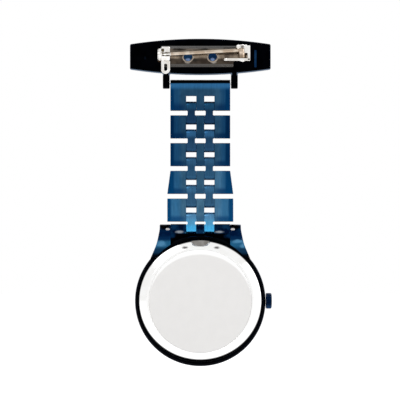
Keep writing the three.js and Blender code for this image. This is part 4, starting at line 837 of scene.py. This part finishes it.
# Bar pin
def pin_strip():
    rear = list(STRIP_SECTION) + [(y, -z) for y, z in reversed(STRIP_SECTION[:-1])]
    section = rear + [(BAR_REAR, STRIP_HALF), (BAR_REAR, -STRIP_HALF)]
    strip = prism("pin_strip", "x", section, STRIP_FROM, STRIP_TO)
    tab, tab_top, tab_bottom = CATCH_TO + TAB_PLAY, CATCH_Z + TAB_HALF, CATCH_Z - TAB_HALF
    outline = [
        (STRIP_FROM, EAR_BOTTOM), (STRIP_CUT_TO, EAR_BOTTOM), (STRIP_CUT_TO, -STRIP_HALF), (tab, -STRIP_HALF),
        (tab, tab_bottom), (STRIP_TO, tab_bottom), (STRIP_TO, tab_top), (tab, tab_top), (tab, STRIP_HALF),
        (STRIP_FROM, STRIP_HALF),
    ]
    shaped(strip, "INTERSECT", prism("plan", "y", softened(outline, STRIP_CORNER, 5), -1.0, 1.0))
    hole = rod(HOLE_RADIUS, -2, 2)
    holes = [turned("hole", "y", hole, (side * HOLE_X, 0.0), RING_SIDES) for side, _ in SIDES]
    shaped(strip, "DIFFERENCE", *holes)
    for side, letter in SIDES:
        lip = softened(RIM_PROFILE, 0.05, 3)
        rim = turned(f"strip_rim_{letter}", "y", lip, (side * HOLE_X, 0.0), RING_SIDES)
        bright(rim, "brooch", material=rim_steel)
    dressed(strip, "brooch", strip_steel, strip_steel, 0.07, 2, replaces="pin_base")


def ear_outline(length):
    end = STRIP_FROM + length
    corner = arc(end - EAR_CORNER, EAR_REACH - EAR_CORNER, EAR_CORNER, 0, 90, 10)
    return ([(STRIP_FROM, EAR_ROOT_Y), (end, EAR_ROOT_Y), (end, EAR_STRAIGHT_Y)] + corner
            + [(STRIP_FROM, EAR_REACH)])


def pin_hinge():
    upper = prism("pin_hinge", "z", ear_outline(UPPER_EAR), EAR_TOP - EAR_THICKNESS, EAR_TOP)
    lower = prism("pin_hinge_lower", "z", ear_outline(LOWER_EAR), EAR_BOTTOM, EAR_BOTTOM + EAR_THICKNESS)
    side = rectangle(EAR_ROOT_Y, EAR_REACH, EAR_BOTTOM, EAR_TOP, WALL_CORNER)
    wall = prism("wall", "x", side, STRIP_FROM, STRIP_FROM + EAR_THICKNESS)
    front = rectangle(STRIP_FROM, STRIP_FROM + LIP_LENGTH, LIP_BOTTOM, EAR_TOP)
    lip = prism("lip", "y", front, EAR_REACH - LIP_THICKNESS, EAR_REACH)
    shaped(upper, "UNION", wall, lip)
    for ear in (upper, lower):
        shaped(ear, "DIFFERENCE", turned("hole", "z", rod(WIRE_RADIUS, -3, 5), (HINGE_X, PIN_Y), BORE_SIDES))
    bright(upper, "brooch", 0.06, ear_steel)
    bright(lower, "brooch", 0.1)
    for letter, x in BEAD_PLACES:
        post = softened(rod(*BEAD), BEAD_ROUNDING, 5, False)
        bead = turned(f"hinge_bead_{letter}", "y", post, (x, EAR_TOP - BEAD_DROP), WIRE_SIDES)
        bright(bead, "brooch")
    rivet = moved(RIVET_HEAD, EAR_TOP) + moved(reversed(RIVET_HEAD), EAR_BOTTOM, -1)
    heads = turned("hinge_rivet", "z", rivet, (HINGE_X, PIN_Y), SMALL_SIDES)
    bright(heads, "brooch", replaces="pin_hinge_rivet")


def pin_stem():
    root_z = CATCH_Z + PIN_RISE
    length = CATCH_TO - TIP_INSET - HINGE_X
    profile = [(0, WIRE_FROM), (WIRE_RADIUS, WIRE_FROM)] + moved(POINT_PROFILE, length, -1)
    wire = turned("pin_wire", "x", profile, (0.0, 0.0), WIRE_SIDES)
    slope = Matrix.Rotation(math.atan2(PIN_RISE, length), 4, "Y")
    wire.data.transform(Matrix.Translation(Vector((HINGE_X, PIN_Y, root_z)) * MM) @ slope)
    low, high = EAR_BOTTOM + EAR_THICKNESS + EYE_PLAY, EAR_TOP - EAR_THICKNESS - EYE_PLAY
    barrel = [
        (EYE_BORE, low), (0.9, low), (1.05, low + 0.12), (0.98, low + 0.9), (1.0, root_z - 0.8),
        (1.08, root_z - 0.5), (1.08, high - 0.1), (0.98, high), (EYE_BORE, high),
    ]
    eye = turned("pin_eye", "z", softened(barrel, 0.15, 4, False), (HINGE_X, PIN_Y), RING_SIDES)
    bright(eye, "pin_stem", material=eye_steel)
    bright(wire, "pin_stem", material=stem_steel, replaces="pin_stem")


def catch():
    middle, half = (CATCH_FROM + CATCH_TO) / 2, (CATCH_TO - CATCH_FROM) / 2
    ring_profile = softened(band(CATCH_BORE, CATCH_RING, CATCH_FROM, CATCH_TO), 0.35, 5)
    ring = turned("catch_lever_ring", "x", ring_profile, (PIN_Y, CATCH_Z), CATCH_SIDES)
    opening = rectangle(PIN_Y, PIN_Y + 5, *(CATCH_Z + z for z in MOUTH))
    shaped(ring, "DIFFERENCE", prism("mouth", "x", opening, CATCH_FROM - 1, CATCH_TO + 0.01))
    bright(ring, "catch_lever", 0.1, replaces="catch_lever")

    low, top = CATCH_Z - BLADE_DROP, CATCH_Z - BLADE_TOP
    outline = arc(middle, low + half, half, 180, 360, 20) + [(CATCH_TO, top), (CATCH_FROM, top)]
    blade = prism("catch_blade", "y", outline, *BLADE_Y)
    slit = rectangle(middle - SLOT_HALF, middle + SLOT_HALF, *(low + z for z in SLOT), SLOT_HALF, 8)
    shaped(blade, "DIFFERENCE", prism("slot", "y", slit, 0, 6))
    bright(blade, "catch_lever", 0.14)

    stub = softened(moved(NECK_PROFILE, CATCH_TO), 0.1, 3, False)
    neck = turned("catch_neck", "x", stub, (PIN_Y, CATCH_Z), RING_SIDES)
    bright(neck, "catch_lever")

    # A dark oval skin on the ring is the painted shade of a hole, not a cut
    skin = band(CATCH_RING - PIT_DEPTH, CATCH_RING + PIT_RISE, CATCH_FROM, CATCH_TO)
    pit = turned("catch_pit", "x", skin, (PIN_Y, CATCH_Z), CATCH_SIDES)
    shaped(pit, "INTERSECT", prism("oval", "y", oval(*PIT_OVAL), PIN_Y, PIN_Y + 5))
    bright(pit, "catch_lever", material=pit_shade)
    bright(copied("catch_hoop_piece", "catch_hoop"), "brooch", 0.1, replaces="catch_hoop")


# Bracelet
def row_z(row):
    """Lower and upper pin of a row, counted from 1."""
    low = FIRST_PIN_Z - (row - 1) * ROW_PITCH
    return low, low + PIN_SPAN


def link_profile(z0, z1):
    """Rounded corners and faces that are slightly crowned from top to bottom."""
    mid, half = (z0 + z1) / 2, (z1 - z0) / 2
    steps = 10
    heights = [z0 + (z1 - z0) * k / steps for k in range(steps + 1)]
    base = [(LINK_DEPTH * (1 - LINK_CROWNING * ((z - mid) / half) ** 2), z) for z in heights]
    full = [(BAND_Y + y, z) for y, z in base] + [(BAND_Y - y, z) for y, z in reversed(base)]
    return softened(full, LINK_CORNER, 6)


def add_pin(bm, z):
    reach = OUTER_IN + 1
    add_turned(bm, "x", rod(PIN_RADIUS, -reach, reach), (BAND_Y, z), PIN_SIDES)


def pin_ends(row, reaches, heights):
    """The pins' ends, just proud of the outer links."""
    radius, sink, rise = PIN_END

    def fill(bm):
        for reach, z in zip(reaches, heights):
            for side, _ in SIDES:
                end = rod(radius, side * (reach - sink), side * (reach + rise))
                add_turned(bm, "x", softened(end, 0.06, 3, False), (BAND_Y, z), PIN_SIDES)

    bright(made(f"pin_ends_{row}", fill), f"row_{row}")


def link_row(row):
    """The last two rows widen towards the head."""
    low, high = row_z(row)
    z0, z1 = low - OVERHANG, high + OVERHANG
    top = BAND_HALF_LOW if row > 4 else BAND_HALF
    bottom = BAND_HALF_LOW if row >= 4 else BAND_HALF
    profile = link_profile(z0, z1)

    def fill(bm):
        add_prism(bm, "x", profile, -CENTRE_HALF, CENTRE_HALF)
        for side, _ in SIDES:
            rings = add_prism(bm, "x", profile, side * OUTER_IN, side * top)
            for vert in rings[1]:
                share = (z1 * MM - vert.co.z) / ((z1 - z0) * MM)
                vert.co.x = side * (top + (bottom - top) * share) * MM
        for z in (low, high):
            add_pin(bm, z)

    face, edge = row_steels(row)
    dressed(made(f"row_{row}_links", fill), f"row_{row}", face, edge, 0.1,
            replaces=f"link_row_{row}")
    flare = (bottom - top) * OVERHANG / (z1 - z0)
    pin_ends(row, [bottom - flare, top + flare], [low, high])


def first_row():
    """A long row whose top is a barrel round the upper spring bar."""
    low, _ = row_z(1)
    bottom, top = low - OVERHANG, UPPER_Z - 1
    front, rear = BAND_Y - LINK_DEPTH, BAND_Y + LINK_DEPTH
    lower = softened([(front, top), (front, bottom), (rear, bottom), (rear, top)], 0.6, 6, False)
    outline = arc(BAND_Y, UPPER_Z, LINK_DEPTH, 0, 180, 28) + lower
    block = prism("row_1_links", "x", outline, -BAND_HALF, BAND_HALF)
    gap = rectangle(-6, 3, bottom - 1, SHOULDER_Z)
    slots = [prism("slot", "x", gap, *span(side, CENTRE_HALF, OUTER_IN)) for side, _ in SIDES]
    bore = turned("bore", "x", rod(UPPER_BORE, -10, 10), (BAND_Y, UPPER_Z), SMALL_SIDES)
    shaped(block, "DIFFERENCE", *slots, bore)
    face, edge = row_steels(1)
    dressed(block, "row_1", face, edge, 0.1, replaces="link_row_1")
    dressed(made("row_1_pins", lambda bm: add_pin(bm, low)), "row_1", face)
    pin_ends(1, [BAND_HALF], [low])


def connectors(row):
    """Two flat links with round ends and a narrower neck."""
    last = row == ROWS
    top, bottom = row_z(row)[0], LOWER_Z if last else row_z(row + 1)[1]
    lower_radius = LAST_RADIUS if last else CONNECTOR_RADIUS
    outline = arc(BAND_Y, top, CONNECTOR_RADIUS, 0, 180, 22) + arc(BAND_Y, bottom, lower_radius, 180, 360, 22)
    neck_top, neck_bottom = top - OVERHANG + NECK_INSET, bottom + OVERHANG - NECK_INSET
    heights = [
        top + PLAN_MARGIN, neck_top, neck_top - NECK_SLOPE, neck_bottom + NECK_SLOPE, neck_bottom,
        bottom - PLAN_MARGIN,
    ]
    outer, inner = (
        list(zip((x, x, neck_x, neck_x, x, x), heights))
        for x, neck_x in ((CONNECTOR_OUT, NECK_OUT), (CONNECTOR_IN, NECK_IN))
    )
    plan = inner[:1] + outer + inner[:0:-1]
    face, edge = connector_steels(row)
    for side, letter in SIDES:
        ends = span(side, CONNECTOR_IN, CONNECTOR_OUT)
        piece = prism(f"connector_{row}_{letter}_piece", "x", outline, *ends)
        shape = prism("plan", "y", [(side * x, z) for x, z in plan], BAND_Y - 2, BAND_Y + 2)
        shaped(piece, "INTERSECT", shape)
        dressed(piece, f"connectors_{row}", face, edge, 0.06,
                replaces=f"connector_{row}_{letter}")


# Head
def lug(side, letter):
    full = LOWER_Z - LUG_DEPTH_DROP
    profile = arc(BAND_Y, LOWER_Z, LUG_EYE, 0, 180, 24)
    profile += [(CASE_FRONT, full), (CASE_FRONT, CASE_Z), (CASE_REAR, CASE_Z), (CASE_REAR, full)]
    block = prism(f"lug_{letter}", "x", profile, *span(side, LUG_IN, LUG_ROOT))
    flank = moved(LUG_FLANK, LOWER_Z)
    flank.append((LUG_ROOT, CASE_Z + math.sqrt(CASE_RADIUS**2 - LUG_ROOT**2)))
    outline = [(LUG_IN, LOWER_Z + LUG_TOP)] + softened(flank, LUG_ROUNDING, 5, False)
    outline.append((LUG_IN, CASE_Z + LUG_INNER_ROOT))
    plan = prism("plan", "y", [(side * x, z) for x, z in outline], CASE_FRONT - 1, CASE_REAR + 1)
    shaped(block, "INTERSECT", plan)
    dressed(block, "head", lug_steel, lug_edge, 0.35, 4)
    # A grey oval at the lug's tip, a painted highlight
    head = oval(side * STUD_X, LOWER_Z + STUD_RISE, *STUD_RADII)
    stud = prism(f"lug_stud_glint_{letter}", "y", head, *STUD_Y)
    bright(stud, "head", 0.08, stud_glint_steel)


def case_middle():
    ring = turned("case_ring", "y", softened(CASE_PROFILE, 0.22), HEAD_AXIS, CASE_SIDES)
    dressed(ring, "head", case_steel, replaces="case_middle")
    # Faces on the outer flank get case_edge, a painted blue reflection
    for face in ring.data.polygons:
        if math.hypot(face.center.x, face.center.z - CASE_Z * MM) > CASE_FLANK * MM:
            face.material_index = 1
    ring.data.materials.append(case_edge)
    for side, letter in SIDES:
        lug(side, letter)


def end_link():
    """The CAD solid, with its ends against the lugs and its web down to the case."""
    end = copied("end_link_piece", "end_link")
    for vert in end.data.vertices:
        if abs(vert.co.x) > (LUG_IN - 0.1) * MM:
            vert.co.x = math.copysign((LUG_IN - END_PLAY) * MM, vert.co.x)
        if vert.co.z < (LOWER_Z - WEB_TOP) * MM:
            vert.co.z -= WEB_DROP * MM
    dressed(end, "head", end_steel, end_edge, 0.08, replaces="end_link")


def bezel():
    ring = turned("bezel_ring", "y", softened(BEZEL_PROFILE, 0.18), HEAD_AXIS, CASE_SIDES)
    dressed(ring, "head", case_steel, replaces="bezel")
    flat = softened(GLASS_PROFILE, 0.06, 3, False)
    pane = turned("crystal_pane", "y", flat, HEAD_AXIS, GLASS_SIDES)
    dressed(pane, "head", watch_glass, replaces="crystal")


def notch_arc(radius, steps):
    """An arc as wide as the notch, from -X to +X, as [X, height over the middle] points."""
    reach = math.asin(NOTCH_HALF / radius)
    angles = [reach * k / steps for k in range(-steps, steps + 1)]
    return [(radius * math.sin(t), radius * math.cos(t)) for t in angles]


def case_back():
    back = turned("back_plate", "y", softened(BACK_PROFILE, 0.08, 4, False), HEAD_AXIS, CASE_SIDES)
    notch = turned("notch", "y", rod(NOTCH_RADIUS, NOTCH_FLOOR, 4), (0.0, CASE_Z + NOTCH_CENTRE), NOTCH_SIDES)
    shaped(back, "DIFFERENCE", notch)
    dressed(back, "head", back_mirror, replaces="case_back")
    inner = [(x, NOTCH_CENTRE - z) for x, z in reversed(notch_arc(NOTCH_INNER, 14))]
    outline = [(x, CASE_Z + z) for x, z in notch_arc(NOTCH_RIM, 10) + inner]
    plate = prism("notch_floor", "y", outline, *NOTCH_PLATE)
    dressed(plate, "head", notch_grey)
    disc = softened(rod(*DISC), 0.1, 4, False)
    face = turned("back_face", "y", disc, HEAD_AXIS, GLASS_SIDES)
    dressed(face, "head", back_satin, replaces="back_disc")


def crown():
    near, far = FLUTE_SPAN

    def swell(radius, a, t):
        fluted = CROWN_INNER - near < a < CROWN_INNER - far and radius > FLUTE_RADIUS
        depth = FLUTE_DEPTH if fluted else 0.0
        return -depth * (0.5 - 0.5 * math.cos(FLUTES * t)) ** FLUTE_SHARPNESS

    rim = moved(CROWN_INNER_EDGE, CROWN_INNER, -1) + moved(CROWN_OUTER_EDGE, CROWN_OUTER)
    knob = turned("crown_knob", "x", [(0, CROWN_INNER)] + rim, (STEM_Y, CASE_Z), GLASS_SIDES, swell)
    dressed(knob, "crown", crown_steel, replaces="crown")


# Dial
def dial_way(turns):
    """The way a hand points. Twelve points down, and turns run clockwise as seen from the front."""
    angle = 2 * math.pi * turns
    return -math.sin(angle), -math.cos(angle)


def bar_on_dial(turns, start, end, width_in, width_out):
    dx, dz = dial_way(turns)
    corners = [(start, -width_in / 2), (end, -width_out / 2), (end, width_out / 2), (start, width_in / 2)]
    return [(dx * a - dz * b, CASE_Z + dz * a + dx * b) for a, b in corners]


def numerals(bm, values, reach, size):
    """Upright numbers, as read with twelve at the top, laid on the dial."""
    for k, value in enumerate(values):
        curve = bpy.data.curves.new("number", "FONT")
        curve.body, curve.size = str(value), size * MM
        curve.align_x, curve.align_y = "CENTER", "CENTER"
        curve.extrude, curve.offset = PRINT_DEPTH * MM, NUMERAL_WEIGHT * size * MM
        curve.space_character = NUMERAL_SPACING
        text = in_scene("number", curve)
        bpy.context.view_layer.update()
        mesh = evaluated(text)
        dx, dz = dial_way((k + 1) / len(values))
        where = Vector((dx * reach, DIAL_FACE - PRINT_DEPTH, CASE_Z + dz * reach)) * MM
        turn = Matrix(((-1, 0, 0), (0, 0, -1), (0, -1, 0))).to_4x4()
        mesh.transform(Matrix.Translation(where) @ turn)
        bm.from_mesh(mesh)
        bpy.data.objects.remove(text)
        bpy.data.curves.remove(curve)
        bpy.data.meshes.remove(mesh)


def dial():
    disc = softened(band(DIAL_BORE, DIAL_RADIUS, DIAL_REAR, DIAL_FACE), 0.05, 3)
    plate = turned("dial_plate", "y", disc, HEAD_AXIS, DIAL_SIDES)
    dressed(plate, "head", dial_white, replaces="dial")

    def markers(bm):
        for hour in range(HOURS):
            add_prism(bm, "y", bar_on_dial(hour / HOURS, *HOUR_BAR), DIAL_FACE - 0.2, DIAL_FACE + 0.1)

    dressed(made("dial_markers", markers), "head", print_black, bevel=0.06, steps=2)

    def track(bm):
        for minute in range(MINUTES):
            if minute % (MINUTES // HOURS):
                bar = bar_on_dial(minute / MINUTES, *MINUTE_BAR)
                add_prism(bm, "y", bar, DIAL_FACE - 0.015, DIAL_FACE + 0.01)
        numerals(bm, range(1, HOURS + 1), *HOUR_NUMERALS)

    dressed(made("dial_print", track), "head", print_black)
    later = range(HOURS + 1, 2 * HOURS + 1)
    inner = made("dial_print_inner", lambda bm: numerals(bm, later, *INNER_NUMERALS))
    dressed(inner, "head", print_red)


def hand(name, body, node, turns, shape, material):
    """A hub with a pointer that is widest before its tip."""
    length, width, y, hub, tail = shape
    front = y - HAND_THICKNESS
    back = bar_on_dial(turns, -tail, length * WIDEST_SHARE, width * 0.75, width)
    tip = bar_on_dial(turns, length * WIDEST_SHARE, length, width, width * 0.12)
    profile = softened(band(hub - HUB_WALL, hub, y, front), 0.05, 3)
    ring = turned(name, "y", profile, HEAD_AXIS, SMALL_SIDES)
    blade = prism("blade", "y", [back[0], *tip, back[3]], front + 0.02, y - 0.02)
    bore = turned("bore", "y", rod(hub - HUB_WALL - 0.01, -8, 0), HEAD_AXIS, SMALL_SIDES)
    shaped(blade, "DIFFERENCE", bore)
    shaped(ring, "UNION", blade)
    dressed(ring, body, material, bevel=0.04, steps=2, replaces=node)


def hands():
    minutes = SHOWN_MINUTES / MINUTES
    hours = (SHOWN_HOURS + minutes) / HOURS
    seconds = SHOWN_SECONDS / MINUTES
    hand("hour_pointer", "hours", "hour_hand", hours, HOUR_HAND, hand_steel)
    hand("minute_pointer", "minutes", "minute_hand", minutes, MINUTE_HAND, hand_steel)
    hand("second_pointer", "seconds", "second_hand", seconds, SECOND_HAND, second_steel)


def inner_parts():
    """The CAD solids that keep their shape get their materials."""
    shared = {
        bright_steel: ["upper_bar_tube", "upper_bar_tip_a", "upper_bar_tip_b", "lower_bar_tube",
                       "lower_bar_tip_a", "lower_bar_tip_b", "battery", "battery_clamp", "winding_stem",
                       "setting_lever", "case_tube"],
        rubber: ["crystal_gasket", "back_gasket", "crown_seal"],
        holder_plastic: ["movement_ring"],
        board_green: ["circuit_board"],
        brass: ["main_plate", "train_bridge", "centre_wheel", "hour_wheel", "minute_wheel", "third_wheel",
                "fourth_wheel", "fifth_wheel"],
        soft_iron: ["rotor", "stator"],
        copper: ["coil"],
    }
    for material, names in shared.items():
        for name in names:
            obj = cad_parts[name]
            if not obj.material_slots:
                obj.data.materials.append(material)
            for place in obj.material_slots:
                place.material = material


# Stage: CLIP, AIM, the lamps and the floor are in metres. A lamp is (name, place, power).
PIXEL = 0.276
IMAGE_SIZE = 400
PIN_PIXEL_Y = 57
DISTANCE = 1200.0
SENSOR = 36.0
CAMERA_X = 0.08
CLIP = (0.01, 20.0)
AIM = (0.0, 0.0, -0.04)
LAMP_SIZE = 0.4
LAMPS = (
    ("key", (0.28, 0.45, 0.3), 0.9),
    ("fill", (-0.4, 0.35, 0.05), 0.5),
    ("front", (-0.2, -0.5, 0.35), 0.9),
)
SKY_LIGHT = 0.72
FLOOR_HALF = 1.5
FLOOR_HEIGHT = -0.098
FLOOR_GLOW = 0.42


def camera():
    data = bpy.data.cameras.new("camera")
    data.sensor_width = SENSOR
    data.lens = SENSOR * DISTANCE / (PIXEL * IMAGE_SIZE)
    data.clip_start, data.clip_end = CLIP
    obj = in_scene("camera", data)
    height = -(IMAGE_SIZE / 2 - PIN_PIXEL_Y) * PIXEL * MM
    obj.location = (CAMERA_X * MM, (DISTANCE + BAND_Y) * MM, height)
    obj.rotation_euler = (math.radians(90), 0.0, math.radians(180))
    bpy.context.scene.camera = obj


def lamp(name, place, power):
    data = bpy.data.lights.new(name, "AREA")
    data.shape, data.size, data.energy = "DISK", LAMP_SIZE, power
    obj = in_scene(name, data)
    obj.location = place
    obj.rotation_euler = (Vector(AIM) - Vector(place)).to_track_quat("-Z", "Y").to_euler()


def seen_directly(tree):
    """1 for what the camera sees straight, in a reflection or through glass."""
    rays = new_node(tree, "LightPath").outputs
    seen = calc("MAXIMUM", rays["Is Camera Ray"], rays["Is Glossy Ray"])
    return calc("MAXIMUM", seen, rays["Is Transmission Ray"])


def background():
    world = bpy.data.worlds.new("studio")
    bpy.context.scene.world = world
    world.use_nodes = True
    tree = world.node_tree
    tree.nodes.clear()
    mix = new_node(tree, "MixShader", Fac=seen_directly(tree))
    for socket, strength in ((1, SKY_LIGHT), (2, 1.0)):
        light = new_node(tree, "Background", Color=(1, 1, 1, 1), Strength=strength)
        feed(mix.inputs[socket], light.outputs[0])
    new_node(tree, "OutputWorld", Surface=mix.outputs[0])


def floor():
    mesh = bpy.data.meshes.new("floor")
    corners = rectangle(-FLOOR_HALF, FLOOR_HALF, -FLOOR_HALF, FLOOR_HALF)
    mesh.from_pydata([(x, y, FLOOR_HEIGHT) for x, y in corners], [], [(0, 1, 2, 3)])
    obj = in_scene("floor", mesh)
    material, tree, shader = nodes_of("floor_white")
    fed(shader, Base_Color=(0.9, 0.9, 0.9, 1.0), Roughness=0.9, Specular_IOR_Level=0.0)
    strength = calc("MULTIPLY", seen_directly(tree), FLOOR_GLOW)
    both = new_node(tree, "AddShader")
    for socket, light in zip(both.inputs, (shader, new_node(tree, "Emission", Strength=strength))):
        feed(socket, light.outputs[0])
    fed(tree.nodes["Material Output"], Surface=both.outputs[0])
    obj.data.materials.append(material)


brooch_bar()
pin_strip()
pin_hinge()
pin_stem()
catch()
first_row()
for number in range(2, ROWS + 1):
    link_row(number)
for number in range(1, ROWS + 1):
    connectors(number)
case_middle()
end_link()
bezel()
case_back()
crown()
dial()
hands()
inner_parts()
camera()
background()
floor()
for one in LAMPS:
    lamp(*one)
bpy.context.scene.view_settings.view_transform = "Standard"
